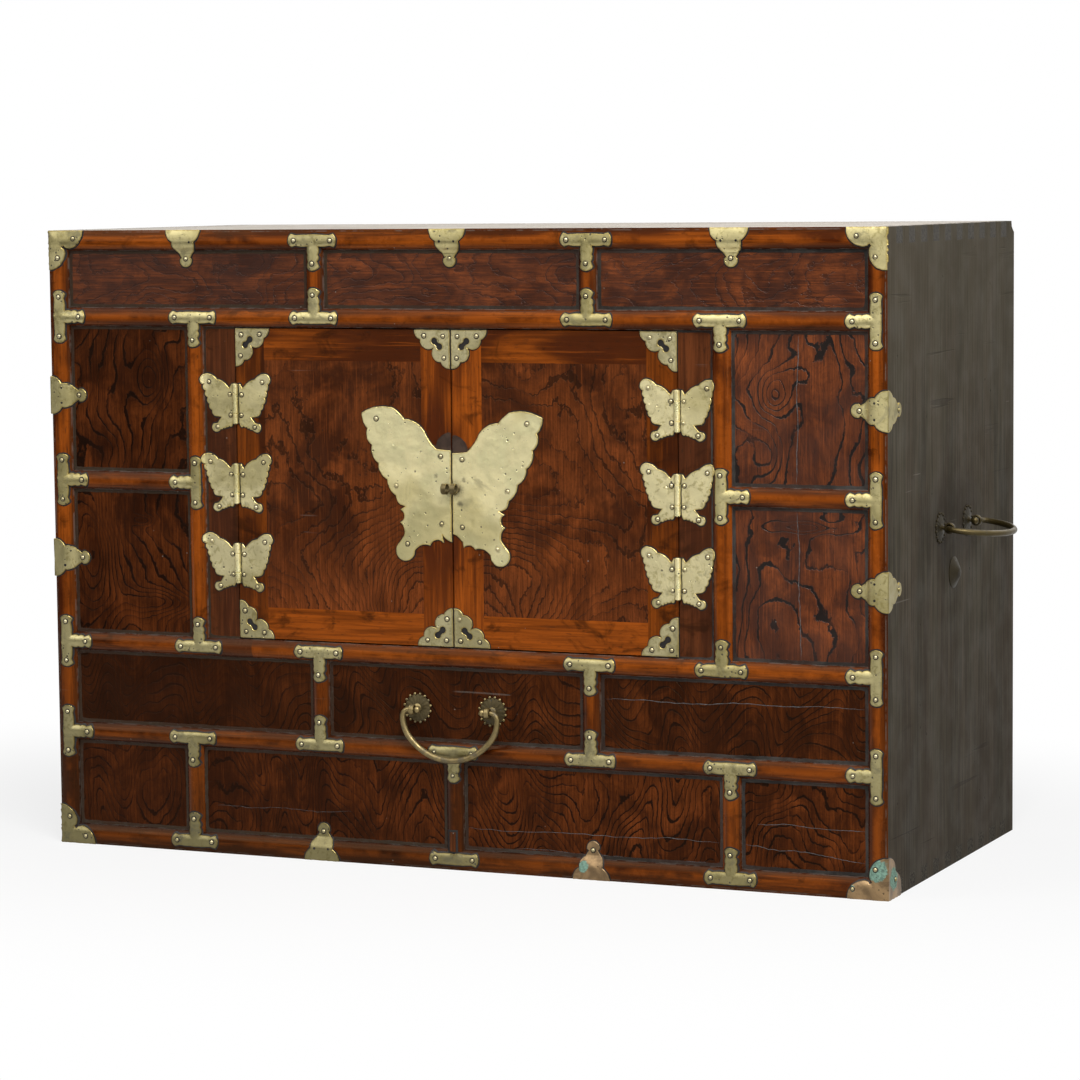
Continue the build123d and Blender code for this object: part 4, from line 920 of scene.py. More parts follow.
class Shell:
    """Points and faces of one piece, in millimetres."""

    def __init__(self):
        self.points, self.faces, self.edge, self.stain = [], [], [], []

    def add(self, points, faces, edge=(), stain=()):
        """Edge runs from 0 at a rim to 1 inside it, stain from 0 where clean to 1."""
        start = len(self.points)
        self.points += [tuple(p) for p in points]
        self.faces += [[start + i for i in face] for face in faces]
        self.edge += edge or [1.0] * len(points)
        self.stain += stain or [0.0] * len(points)

    def closed_sheet(self, over, under, faces, rim, edge=(), stain=()):
        """A skin and its underside, walled along the rim's directed edges."""
        count = len(over)
        walls = [[a, a + count, b + count, b] for a, b in rim]
        below = [[count + i for i in reversed(face)] for face in faces]
        self.add([*over, *under], [*faces, *below, *walls], edge * 2, stain * 2)

    def closed_band(self, over, under, inwards=False, edge=()):
        """A sheet between two closed rows of as many points."""
        count = len(over) // 2
        ahead = [(i, (i + 1) % count) for i in range(count)]
        back = [(b, a) for a, b in ahead]
        near, far = (back, ahead) if inwards else (ahead, back)
        rim = near + [(count + a, count + b) for a, b in far]
        self.closed_sheet(over, under, grid(2, count, inwards=inwards), rim, edge)

    def turned(self, profile, centre, axis, sides=24):
        """Closed surface turned from (radius, along) points about an axis through the centre."""
        axis = Vector(axis).normalized()
        across = axis.orthogonal().normalized()
        away = spokes(across, axis.cross(across), sides)
        points = [Vector(centre) + axis * along + way * radius for radius, along in profile for way in away]
        rows = len(profile)
        caps = [list(reversed(range(sides))), [(rows - 1) * sides + i for i in range(sides)]]
        self.add(points, grid(rows, sides) + caps)

    def ring(self, inner, outer, half_width, centre, axis, sides=28, soft=0.5):
        """Eye of a bolt: a rounded band about an axis."""
        axis = Vector(axis).normalized()
        across = axis.orthogonal().normalized()
        section = [
            (inner, -half_width + soft), (inner, half_width - soft), (inner + soft, half_width),
            (outer - soft, half_width), (outer, half_width - soft), (outer, soft - half_width),
            (outer - soft, -half_width), (inner + soft, -half_width),
        ]
        away = spokes(across, axis.cross(across), sides)
        points = [Vector(centre) + way * radius + axis * along for way in away for radius, along in section]
        self.add(points, grid(sides, len(section), closed=True, inwards=True))

    def piece(self, name, slot, finish, replaces=(), body="cabinet", sharp=38.0):
        """The finished object."""
        mesh = bpy.data.meshes.new(name)
        mesh.from_pydata([(x * MM, y * MM, z * MM) for x, y, z in self.points], [], self.faces)
        for label, values in (("edge", self.edge), ("stain", self.stain)):
            mesh.attributes.new(label, "FLOAT", "POINT").data.foreach_set("value", values)
        mesh.materials.append(finish_for(finish))
        mesh.shade_smooth()
        mesh.set_sharp_from_angle(angle=math.radians(sharp))
        handed_over(linked(name, mesh), body, replaces)


def face_up(bm, update):
    """Turns every face towards +Z; update works its normal out anew first."""
    for face in bm.faces:
        if update:
            face.normal_update()
        if face.normal.z < 0:
            face.normal_flip()


def filled(loops, cell, rim_width, lines=()):
    """Faces inside closed loops, with a narrow rim, cut on a grid: points, faces, rim edges, rim points."""
    bm = bmesh.new()
    edges = []
    for loop in loops:
        ring = [bm.verts.new((x, y, 0.0)) for x, y in loop]
        edges += [bm.edges.new(pair) for pair in zip(ring, ring[1:] + ring[:1])]
    bmesh.ops.triangle_fill(bm, use_beauty=True, edges=edges, normal=(0, 0, 1))
    face_up(bm, False)
    if rim_width:
        bmesh.ops.inset_region(
            bm, faces=bm.faces[:], thickness=rim_width, use_even_offset=True, use_boundary=True
        )
    spans = [(axis, [v.co[axis] for v in bm.verts]) for axis in (0, 1)]
    cuts = [
        (k * cell, axis) for axis, places in spans
        for k in range(math.ceil(min(places) / cell), math.floor(max(places) / cell) + 1)
    ]
    for at, axis in cuts + [(line, 0) for line in lines]:
        where, normal = ((at, 0, 0), (1, 0, 0)) if axis == 0 else ((0, at, 0), (0, 1, 0))
        geometry = bm.verts[:] + bm.edges[:] + bm.faces[:]
        bmesh.ops.bisect_plane(bm, geom=geometry, dist=1e-4, plane_co=where, plane_no=normal)
    bmesh.ops.remove_doubles(bm, verts=bm.verts[:], dist=1e-4)
    face_up(bm, True)
    bm.verts.index_update()
    points = [(v.co.x, v.co.y) for v in bm.verts]
    faces = [[v.index for v in face.verts] for face in bm.faces]
    outer = [loop for face in bm.faces for loop in face.loops if loop.edge.is_boundary]
    rim = [(loop.vert.index, loop.link_loop_next.vert.index) for loop in outer]
    bm.free()
    return points, faces, rim, {i for pair in rim for i in pair}


def dent(x, z, amount):
    """Slight unevenness of hand-worked sheet."""
    return amount * (0.7 * ripple(x * 0.045, z * 0.045, 3.1) + 0.3 * ripple(x * 0.16, z * 0.16, 7.7))


def wandered(points, amount=0.3):
    """Hand-cut wobble of an outline."""
    return [
        (x + amount * ripple(x * 0.3, y * 0.3, 1.3), y + amount * ripple(x * 0.3, y * 0.3, 9.2))
        for x, y in points
    ]


def add_plate(
    shell, outline, surface, thickness, holes=(), cell=2.0, bevel=0.35, dents=0.3, lines=(), stains=()
):
    """Beaten plate of an outline, laid on a surface; stains are (x, z) or (x, z, reach)."""
    loops = [wandered(outline_points(outline))] + [list(hole) for hole in holes]
    points, faces, rim, on_rim = filled(loops, cell, bevel, lines)
    border = [point for loop in loops for point in loop]
    tree = kdtree.KDTree(len(border))
    for i, (x, z) in enumerate(border):
        tree.insert((x, z, 0.0), i)
    tree.balance()
    spots = [(*spot, STAIN_REACH)[:3] for spot in stains]
    over, under, edge, stain = [], [], [], []
    for i, (x, z) in enumerate(points):
        base, out = surface(x, z)
        rise = thickness - (bevel if i in on_rim else 0.0) + dent(x, z, dents)
        over.append(base + out * (BEDDING + max(0.35, rise)))
        under.append(base + out * BEDDING)
        edge.append(0.0 if i in on_rim else min(1.0, tree.find((x, z, 0.0))[2] / EDGE_REACH))
        stain.append(max([0.0] + [1.0 - math.hypot(x - a, z - b) / reach for a, b, reach in spots]))
    shell.closed_sheet(over, under, faces, rim, edge, stain)


def add_film(shell, outline, surface, thickness=0.1, cell=8.0):
    """Thin flat layer, such as a trace, a pierced plate's dark ground or a painted shadow beside a knuckle.
    """
    add_plate(shell, outline, surface, thickness, cell=cell, bevel=0.0, dents=0.0)


def add_skirt(shell, outline, surface, reach=1.25, lift=0.09):
    """Dark band round a plate's edge: gathered grime, and painted shade where the plate meets the wood."""
    points = wandered(outline_points(outline))
    count = len(points)
    outer = []
    for i, (x, y) in enumerate(points):
        along = (Vector(points[(i + 1) % count]) - Vector(points[i - 1])).normalized()
        grown = reach * (1.0 + 0.55 * ripple(x * 0.21, y * 0.21, 5.0))
        outer.append((x + along.y * grown, y - along.x * grown))
    over, under = [], []
    for i, (x, z) in enumerate(points + outer):
        base, out = surface(x, z)
        over.append(base + out * (BEDDING + (lift if i < count else lift * 0.4)))
        under.append(base - out * 0.02)
    shell.closed_band(over, under, inwards=True)


def facing(surface, x, z, step=0.6):
    """Outward direction of a surface at a point."""
    across = surface(x + step, z)[0] - surface(x - step, z)[0]
    found = across.cross(surface(x, z + step)[0] - surface(x, z - step)[0])
    return found.normalized() if found.length > 1e-6 else surface(x, z)[1].normalized()


# Where nails and empty nail holes go on each body: (place, facing, size).
NAILS, NAIL_HOLES = {}, {}


def drive(places, thickness, body="cabinet", surface=frame_face, size=1.0, store=NAILS):
    """Notes a nail, or an empty nail hole, on a plate at each place."""
    for x, z in places:
        base, _ = surface(x, z)
        out = facing(surface, x, z)
        store.setdefault(body, []).append((base + out * (BEDDING + thickness), out, size))


def fit(
    shell, skirts, outline, places, thickness, body="cabinet", surface=frame_face, size=1.0, reach=1.25,
    spots=(), **plate
):
    """A plate, the dark band round it (grime and painted shade) and its nails; spots are stains away from the
    nails.
    """
    add_plate(shell, outline, surface, thickness, stains=[*places, *spots], **plate)
    add_skirt(skirts, outline, surface, reach)
    drive(places, thickness, body, surface, size)


# ------------------------------------------------------------------ outlines of the plates

TEE = mirrored([
    (-4.9, -17.6, 0.0), (-6.3, -21.9, 3.2), (6.3, -21.9, 0.0), (4.9, -17.6, 0.5), (5.6, -5.5, 1.0),
    (13.2, -5.3, 1.2), (19.6, -4.6, 0.0), (24.6, -6.5, 3.6),
], 0.6)
WORN_TEE = [
    (-4.9, -17.6, 0.0), (-6.3, -21.9, 3.2), (6.3, -21.9, 0.0), (4.9, -17.6, 0.0), (5.4, -6.0, 0.3),
    (4.6, 0.0, 0.3), (5.4, 6.0, 0.0), (4.9, 17.6, 0.0), (6.3, 21.9, 3.2), (-6.3, 21.9, 0.0),
    (-4.9, 17.6, 0.6),
]
TEE_NAILS = [(0.0, -19.0), (0.0, 19.0), (21.5, 0.0)]
CORNER = twinned([
    (0.0, 0.0, 0.0), (38.0, 0.0, 5.0), (22.0, 17.5, 0.0), (18.5, 16.8, 0.0), (16.5, 14.5, 0.0),
    (15.5, 15.5, 0.0),
])
CORNER_NAILS = [(28.0, 8.0), (10.5, 26.5)]
CORNER_FOLD = [
    (0.0, 0.0, 0.0), (34.0, 0.0, 0.8), (33.0, 10.0, 1.5), (26.5, 20.5, 0.0), (17.5, 25.0, 1.5),
    (12.5, 35.0, 1.0),
]
TREFOIL_HALF = [
    (0.0, -18.3, 1.9), (11.5, -11.5, 1.7), (22.0, -7.5, 0.0), (26.5, -4.5, 0.0), (28.0, -6.2, 7.5)
]
TREFOIL = mirrored(TREFOIL_HALF)
TREFOIL_NAIL, TREFOIL_HOLES = [(27.5, 0.0)], [(11.5, -7.3), (11.5, 7.3)]
DOOR_CORNER = twinned([(0.0, 0.0, 0.0), (36.0, 0.0, 1.9), (30.0, 9.0, 5.0), (16.5, 16.5, 0.0)])
WING = [
    (0.0, -18.5, 0.0), (3.5, -18.5, 0.0), (4.6, -21.6, 0.9), (7.8, -21.2, 1.0), (10.9, -22.0, 1.0),
    (14.0, -23.2, 0.9), (16.6, -24.4, 0.0), (19.5, -26.5, 4.2), (24.5, -19.3, 0.0), (20.0, -18.5, 0.0),
    (16.0, -13.0, 0.0), (22.0, -12.2, 1.5), (26.0, -6.4, 1.4), (28.8, -0.6, 1.4), (30.8, 5.6, 1.4),
    (32.2, 11.6, 1.4), (33.8, 18.0, 1.3), (36.4, 24.0, 1.2), (31.0, 28.5, 1.3), (20.5, 23.2, 1.2),
    (9.5, 17.0, 0.0), (7.0, 14.8, 0.0), (4.5, 18.5, 0.0), (0.0, 18.5, 0.0),
]
WING_NAILS = [(28.5, 20.5), (6.2, 8.5), (5.7, -11.0), (19.8, -22.3)]
LOCK_WHOLE = [(0.0, -52.0, 1.2), (10.5, -45.0, 0.0), (9.0, -53.0, -3.9)]
LOCK_BROKEN = [(0.0, -42.0, 0.0), (5.0, -43.5, 0.0), (10.5, -49.0, 0.0), (11.5, -54.5, -3.0)]
LOCK_WING = [
    (23.0, -56.0, -2.2), (37.0, -59.0, 0.0), (39.0, -61.0, 14.0), (54.5, -54.0, 0.0), (50.0, -48.0, -2.3),
    (53.5, -35.0, -4.0), (53.0, -23.0, 0.0), (48.0, -20.0, 0.0), (53.0, -18.5, 1.2), (57.5, -10.0, 2.3),
    (66.5, 5.0, 2.6), (75.5, 20.0, 2.9), (82.0, 37.0, 2.9), (86.5, 52.5, 1.7), (92.0, 67.0, 3.3),
    (59.0, 71.5, 0.6), (48.0, 61.5, 2.8), (28.0, 51.0, -1.4), (15.0, 34.0, 0.0), (0.0, 33.0, 0.0),
]
LOCK_NAILS = [(77.0, 61.5), (11.0, 27.5), (57.0, -1.0), (10.5, -35.5), (46.0, -55.0)]
LOCK_SPOTS = [(9.0, 343.0, 7.0), (-16.0, 369.0, 5.0), (12.0, 366.0, 5.0)]
LOCK_TRACE = [(SEAM, 32.0, 0.0), (17.5, 33.0, 0.0), (14.5, 42.0, 1.0), (5.0, 49.5, 0.6), (SEAM, 49.0, 0.0)]


# ------------------------------------------------------------------ pieces of the cabinet's front

def build_brackets():
    """T brackets over the joints of the frame."""
    stile, top = HALF - CROWN_LINE, HEIGHT - CROWN_LINE
    low, sill, head = RAILS
    posts, rail_zs = (-POST, POST), (low, sill, MID_RAIL, head)
    sets = {
        "stile_brackets": (((-stile,), rail_zs, RIGHT), ((stile,), rail_zs, LEFT)),
        "rail_brackets": ((ROW_STILES, (top,), DOWN), (FOOT_STILES, (CROWN_LINE,), UP)),
        "post_brackets": (
            (posts, (head,), DOWN), (posts, (sill,), UP), ((POST,), (MID_RAIL,), RIGHT),
            ((-POST,), (MID_RAIL,), LEFT),
        ),
        "row_brackets": (
            (ROW_STILES, (head,), UP), (ROW_STILES, (sill,), DOWN), (ROW_STILES, (low,), UP),
            (FOOT_STILES, (low,), DOWN),
        ),
    }
    thickness = brass_size("thickness")
    skirts = Shell()
    for node, joints in sets.items():
        shell = Shell()
        for x, z, turn in [(x, z, turn) for xs, zs, turn in joints for x in xs for z in zs]:
            middle = abs(x) < 1
            worn, under_bail = turn == UP and z < OUTER_WIDTH and middle, turn == DOWN and middle
            outline = swung(WORN_TEE if worn else TEE, x, z, turn)
            places = swung(TEE_NAILS[:2] if worn else TEE_NAILS, x, z, turn)
            fit(shell, skirts, outline, places, thickness, size=0.7 if under_bail else 1.0)
        shell.piece(node.title(), "plate_brass", "brass_bracket", [node])
    # Dark bands round the brackets: grime and painted shade.
    skirts.piece("Bracket_dirt", "dark_brass", "dirt")


def build_corner_plates():
    """Corner plates, three plain and one green and folded round the side."""
    thickness = brass_size("thickness")
    plain, green, skirts = Shell(), Shell(), Shell()
    low_left, nails = moved(CORNER, -HALF, 0.0), moved(CORNER_NAILS, -HALF, 0.0)
    for outline, places in (
        (low_left, nails), (upended(low_left), upended(nails)),
        (upended(flipped(low_left)), upended(flipped(nails))),
    ):
        fit(plain, skirts, outline, places, thickness)
    plain.piece("Corner_plates", "plate_brass", "brass_bracket", ["corner_plates"])
    leg = flipped(low_left)
    start = next(i for i, p in enumerate(leg) if abs(p[0] - HALF) < 0.01 and abs(p[1]) < 0.01)
    outline = moved(CORNER_FOLD, HALF, 0.0) + (leg[start:] + leg[:start])[1:]
    fit(green, skirts, outline, [], thickness, reach=1.1, lines=(HALF,))
    fit(green, skirts, swung(TREFOIL, 139.0, 0.0, UP), [], thickness, reach=1.1)
    drive([(414.0, 28.0), (392.5, 9.5), (HALF + 17.0, 17.0), (139.0, 27.0)], thickness)
    green.piece("Green_plates", "green_brass", "green", ["green_plates"])
    # Dark bands round the corner plates: grime and painted shade.
    skirts.piece("Corner_dirt", "dark_brass", "dirt")


def build_edge_plates():
    """Three-lobed plates on the outer edges; those at the sides are folded over the arris."""
    thickness = brass_size("thickness")
    flat, folded, skirts = Shell(), Shell(), Shell()
    for x, z, turn in [(x, HEIGHT, DOWN) for x in (-277.0, 0.0, 277.0)] + [(-139.0, 0.0, UP)]:
        shape, nail, empty = [swung(each, x, z, turn) for each in (TREFOIL, TREFOIL_NAIL, TREFOIL_HOLES)]
        fit(flat, skirts, shape, nail, thickness)
        drive(empty, thickness, size=0.62, store=NAIL_HOLES)
    flat.piece("Edge_plates", "plate_brass", "brass_bracket", ["edge_plates"])
    half = TREFOIL_HALF + laid(TREFOIL_HALF, lambda x, y: (x, -y), True)[:-1]
    whole = half + laid(half, lambda x, y: (-x, -y))
    for side, heights in ((-1, (281.0, 439.0)), (1, (276.0, 436.0))):
        for z in heights:
            parts = [moved(each, -HALF, z) for each in (whole, [(27.5, 0.0), (-27.5, 0.0)], TREFOIL_HOLES)]
            shape, nails, empty = [flipped(each) for each in parts] if side > 0 else parts
            fit(folded, skirts, shape, nails, thickness, lines=(side * HALF,))
            drive(empty, thickness, size=0.62, store=NAIL_HOLES)
    folded.piece("Side_edge_plates", "plate_brass", "brass_bracket", ["side_edge_plates"])
    # Dark bands round the edge plates: grime and painted shade.
    skirts.piece("Edge_dirt", "dark_brass", "dirt")


def border_ring(shell, x0, z0, x1, z1, y, width, corner, open_side=0):
    """Strip round a panel, ragged on its inner edge; open_side 1 or -1 leaves that side out."""
    span_x, span_z = x1 - x0, z1 - z0
    count_x, count_z = max(4, round(span_x / 4)), max(4, round(span_z / 4))
    steps = [(x0 + span_x * i / count_x, z0) for i in range(count_x)]
    steps += [(x1, z0 + span_z * i / count_z) for i in range(count_z)]
    steps += [(x1 - span_x * i / count_x, z1) for i in range(count_x)]
    steps += [(x0, z1 - span_z * i / count_z) for i in range(count_z)]
    left, right = x0 + width * (open_side >= 0), x1 - width * (open_side <= 0)
    low, high = z0 + width, z1 - width
    inner = []
    for x, z in steps:
        a, b = min(max(x, left), right), min(max(z, low), high)
        round_x = max(a, left + corner) if open_side >= 0 else a
        round_x = min(round_x, right - corner) if open_side <= 0 else round_x
        round_z = min(max(b, low + corner), high - corner)
        if round_x != a and round_z != b:
            away = Vector((a - round_x, b - round_z)).normalized() * corner
            a, b = round_x + away.x, round_z + away.y
        wave = 0.55 * ripple(x * 0.12, z * 0.12, 2.0) + 0.3 * ripple(x * 0.5, z * 0.5, 4.0)
        if left < a < right or open_side == 0:
            b += wave if b < (low + high) / 2 else -wave
        if open_side == 0 or (a - left < 1.0 and open_side > 0) or (right - a < 1.0 and open_side < 0):
            a += wave if a < (left + right) / 2 else -wave
        inner.append((a, b))
    count = len(steps)
    over = [(x, y - 0.38, z) for x, z in steps] + [(x, y - 0.2, z) for x, z in inner]
    under = [(x, y + 0.03, z) for x, z in steps + inner]
    shell.closed_band(over, under, edge=[0.0] * count + [1.0] * count)


def bays(stiles):
    """Clear stretches between the outer stiles and the stiles given."""
    edge = HALF - OUTER_WIDTH
    starts = [-edge] + [x + HALF_MEMBER for x in stiles]
    ends = [x - HALF_MEMBER for x in stiles] + [edge]
    return list(zip(starts, ends))


def build_borders():
    """Dark strips let in round every panel and beside the posts."""
    width = bpy.context.scene.chest_wood.border_width / MM
    shell = Shell()
    low_z, sill_z, head_z = RAILS
    column = (POST + HALF_MEMBER, HALF - OUTER_WIDTH)
    both = [column, (-column[1], -column[0])]
    for row, z0, z1 in (
        (bays(ROW_STILES), head_z + HALF_MEMBER, HEIGHT - OUTER_WIDTH),
        (bays(ROW_STILES), low_z + HALF_MEMBER, sill_z - HALF_MEMBER),
        (bays(FOOT_STILES), OUTER_WIDTH, low_z - HALF_MEMBER),
        (both, sill_z + HALF_MEMBER, MID_RAIL - HALF_MEMBER),
        (both, MID_RAIL + HALF_MEMBER, head_z - HALF_MEMBER),
    ):
        for x0, x1 in row:
            border_ring(shell, x0, z0, x1, z1, FRONT + PANEL_LEVEL, width, 2.2)
    inner, post = DOOR_OUTER + 0.9, POST - HALF_MEMBER
    for x0, x1, side in ((inner, post, -1), (-post, -inner, 1)):
        border_ring(shell, x0, sill_z + HALF_MEMBER, x1, head_z - HALF_MEMBER, DOOR_Y, width * 0.6, 4.0, side)
    shell.piece("Panel_borders", "panel_wood", "border")


def add_crack(shell, start, end, width, wander, seed):
    """Filled crack: a thin ragged ribbon over a panel."""
    start, end = Vector(start), Vector(end)
    run = end - start
    count = max(8, round(run.length / 2.2))
    side = Vector((-run.y, run.x)).normalized()
    left, right = [], []
    for i in range(count + 1):
        t = i / count
        sway = wander * ripple(t * 4.0 + seed, seed, 0.3) + 0.35 * wander * ripple(t * 23.0, seed, 1.7)
        half = width / 2 * (0.55 + 0.9 * abs(ripple(t * 17.0, seed, 6.1))) * min(1.0, 12 * t * (1 - t) + 0.15)
        middle = start + run * t + side * sway
        left.append(middle + side * half)
        right.append(middle - side * half)
    n, level = count + 1, FRONT + PANEL_LEVEL
    over = [(p.x, level - 0.13, p.y) for p in left + right]
    under = [(p.x, level + 0.02, p.y) for p in left + right]
    faces = [[n + i, n + i + 1, i + 1, i] for i in range(count)]
    rim = [(n + i, n + i + 1) for i in range(count)] + [(i + 1, i) for i in range(count)]
    shell.closed_sheet(over, under, faces, rim + [(0, n), (n + count, count)])


def build_cracks():
    """Filled cracks of the right-hand panels."""
    shell = Shell()
    for i, (start, end, width, wander) in enumerate([
        ((152.0, 168.0), (402.0, 170.5), 0.7, 2.4), ((14.0, 40.0), (263.0, 41.0), 0.55, 3.0),
        ((300.0, 62.0), (402.0, 60.0), 0.6, 1.6), ((288.0, 42.0), (402.0, 32.0), 0.6, 2.6),
        ((341.0, 212.0), (340.0, 345.0), 0.8, 2.2), ((338.5, 370.0), (340.0, 502.0), 0.75, 1.6),
        ((-255.0, 45.0), (-110.0, 47.0), 0.3, 2.4), ((60.0, 23.0), (262.0, 21.5), 0.5, 2.0),
    ]):
        add_crack(shell, start, end, width, wander, i * 3.7)
    shell.piece("Filled_cracks", "panel_wood", "crack")


def build_patch():
    """Small block let in where the middle stile's bracket has lost its stem, and the dark bed round it: grime
    and painted shade of the slot.
    """
    for name, finish, (x0, z0, x1, z1), lift in (
        ("Patch_bed", "dirt", (-7.5, 16.5, 3.8, 38.0), 0.14),
        ("Patch_block", "patch", (-4.8, 17.5, 1.8, 36.0), 0.75),
    ):
        outline = [(x0, z0, 0.0), (x1, z0, 0.0), (x1, z1, 0.0), (x0, z1, 0.0)]
        points, faces, rim, on_rim = filled([outline_points(outline)], 1.5, 0.25)
        over, under = [], []
        for i, (x, z) in enumerate(points):
            base, out = frame_face(x, z)
            over.append(base + out * (lift if i not in on_rim else lift * 0.6))
            under.append(base - out * 0.05)
        shell = Shell()
        shell.closed_sheet(over, under, faces, rim)
        shell.piece(name, "frame_wood", finish)


# ------------------------------------------------------------------ doors and hinges

def keyhole(radius=3.1, middle=13.0):
    """Two joined lobes pierced through a door corner plate."""
    points = []
    for a, b in ((15.6, 10.4), (10.4, 15.6)):
        heading = math.atan2(b - middle, a - middle)
        for i in range(11):
            turn = heading + math.radians(140) - math.radians(280) * i / 10
            points.append((a + radius * math.cos(turn), b + radius * math.sin(turn)))
    return points


def build_door_corners():
    """Pierced corner plates of both doors."""
    thickness = brass_size("thickness")
    for side, body in DOORS:
        shell, skirts = Shell(), Shell()
        for x, out in ((side * SEAM, side), (side * DOOR_OUTER, -side)):
            for z, up in ((DOOR_LOW, 1), (DOOR_HIGH, -1)):
                def into(a, b):
                    return x + out * a, z + up * b
                outline = laid(DOOR_CORNER, into, out * up < 0)
                places = laid([(6.5, 6.0), (26.0, 5.6), (5.6, 26.0)], into)
                hole = laid(keyhole(), into)[::out * up]
                fit(shell, skirts, outline, places, thickness, body, door_face, reach=0.8, holes=[hole])
                # Dark ground seen through the piercing: grime and painted shade in the hole.
                add_film(skirts, [(a, b, 0.0) for a, b in hole], door_face)
        shell.piece(f"{body}_corner_plates", "plate_brass", "brass_aged", [f"{body}_corner_plates"], body)
        # Dark bands and hole grounds of the door corners: grime and painted shade.
        skirts.piece(f"{body}_corner_dirt", "dark_brass", "dirt", (), body)


def build_lock():
    """Halves of the large butterfly, the trace above it and the lock eyes."""
    thickness = brass_size("lock_thickness")
    for (side, body), start, z in zip(DOORS, (LOCK_WHOLE, LOCK_BROKEN), (360.0, 357.5)):
        shell, skirts, trace, eye = Shell(), Shell(), Shell(), Shell()
        outline = moved([(p[0] or SEAM, *p[1:]) for p in start + LOCK_WING], 0.0, z)
        ghost, places = moved(LOCK_TRACE, 0.0, z), moved(LOCK_NAILS, 0.0, z)
        if side < 0:
            outline, ghost, places = flipped(outline), flipped(ghost), flipped(places)
        spots = [(side * LOCK_EYE_X, 357.0, 14.0), *LOCK_SPOTS]
        fit(shell, skirts, outline, places, thickness, body, door_face, 1.1, 1.0, spots, cell=2.5, dents=0.42)
        add_film(trace, ghost, door_face, cell=3.0)
        half = body.split("_")[0]
        shell.piece(f"{body}_lock_plate", "plate_brass", "brass_lock", [f"{half}_lock_plate"], body)
        # Dark band round the lock half: grime and painted shade.
        skirts.piece(f"{body}_lock_dirt", "dark_brass", "dirt", (), body)
        trace.piece(f"{body}_lock_trace", "band_wood", "trace", (), body)
        x, front = side * LOCK_EYE_X, DOOR_Y - BEDDING - thickness
        eye.ring(3.4, 5.2, 2.5, (x, -196.05, LOCK_EYE_Z), (1, 0, 0))
        collar = [(0.4, -0.6), (4.4, -0.4), (4.0, 0.5), (2.6, 1.3), (0.4, 1.5)]
        eye.turned(collar, (x, front, LOCK_EYE_Z), (0, -1, 0), 18)
        eye.turned([(1.6, 0.0), (1.6, 17.5)], (x, front - 0.4, LOCK_EYE_Z), (0, 1, 0), 10)
        clinched = [(0.3, -9.0), (1.5, -8.4), (1.5, 8.4), (0.3, 9.0)]
        eye.turned(clinched, (x, DOOR_Y + 16.4, LOCK_EYE_Z), (0, 0, 1), 10)
        eye.piece(f"{body}_lock_eye", "dark_brass", "bronze_side", [f"{half}_lock_eye"], body)


def barrel(shell, side, z, low, high, soft=0.35, radius=2.6):
    """Rolled knuckle with softened ends."""
    profile = [
        (1.35, low), (radius - soft, low), (radius, low + soft), (radius, high - soft), (radius - soft, high),
        (1.35, high),
    ]
    shell.turned(profile, (side * HINGE_X, HINGE_Y, z), (0, 0, 1), 20)


def build_hinges():
    """Butterfly hinges: wings on the doors, wings on the strips, and pins."""
    thickness = brass_size("thickness")
    pins = Shell()
    for side, body in DOORS:
        moving, fixed, rolls, door_rolls, skirts, frame_skirts = [Shell() for _ in range(6)]
        for z in HINGE_ZS:
            shapes = [moved(each, HINGE_X, z) for each in (WING, WING_NAILS)]
            shapes += [laid(each, lambda x, y: (2 * HINGE_X - x, y), True) for each in shapes]
            outer, out_nails, inner, in_nails = [flipped(each) for each in shapes] if side < 0 else shapes
            lines = (side * (POST - HALF_MEMBER),)
            fit(fixed, frame_skirts, outer, out_nails, thickness, size=0.95, reach=1.2, lines=lines)
            fit(moving, skirts, inner, in_nails, thickness, body, door_face, 0.95, 1.2)
            # Painted shadow: dark strips beside each knuckle, in the gaps between knuckles and wings.
            for out, seams, face in ((1.0, frame_skirts, frame_face), (-1.0, skirts, door_face)):
                near, far = sorted((side * (HINGE_X + out * 2.75), side * (HINGE_X + out * 3.6)))
                low, high = z - HALF_HINGE, z + HALF_HINGE
                seam = [(near, low, 0.0), (far, low, 0.0), (far, high, 0.0), (near, high, 0.0)]
                add_film(seams, seam, face, thickness + 0.3, 6.0)
            barrel(rolls, side, z, -HALF_HINGE, -9.25)
            barrel(rolls, side, z, 9.25, HALF_HINGE)
            barrel(door_rolls, side, z, -9.0, 9.0)
            pin = [(0.3, -19.9), (1.2, -19.6), (1.3, -19.0), (1.3, 19.0), (1.2, 19.6), (0.3, 19.9)]
            pins.turned(pin, (side * HINGE_X, HINGE_Y, z), (0, 0, 1), 14)
        moving.piece(f"{body}_wings", "plate_brass", "brass", [f"{body}_hinge_wings"], body)
        door_rolls.piece(f"{body}_knuckles", "plate_brass", "brass_bright", (), body)
        half = body.split("_")[0]
        fixed.piece(f"{body}_frame_wings", "plate_brass", "brass", [f"{half}_frame_hinge_wings"])
        rolls.piece(f"{body}_frame_knuckles", "plate_brass", "brass_bright")
        # Dark bands round the wings and beside the knuckles: grime, painted shade and painted shadow.
        skirts.piece(f"{body}_wing_dirt", "dark_brass", "dirt", (), body)
        frame_skirts.piece(f"{body}_frame_wing_dirt", "dark_brass", "dirt")
    pins.piece("Hinge_pins", "dark_brass", "bronze", ["hinge_pins"])


# ------------------------------------------------------------------ geometry nodes: nails, beads and bails

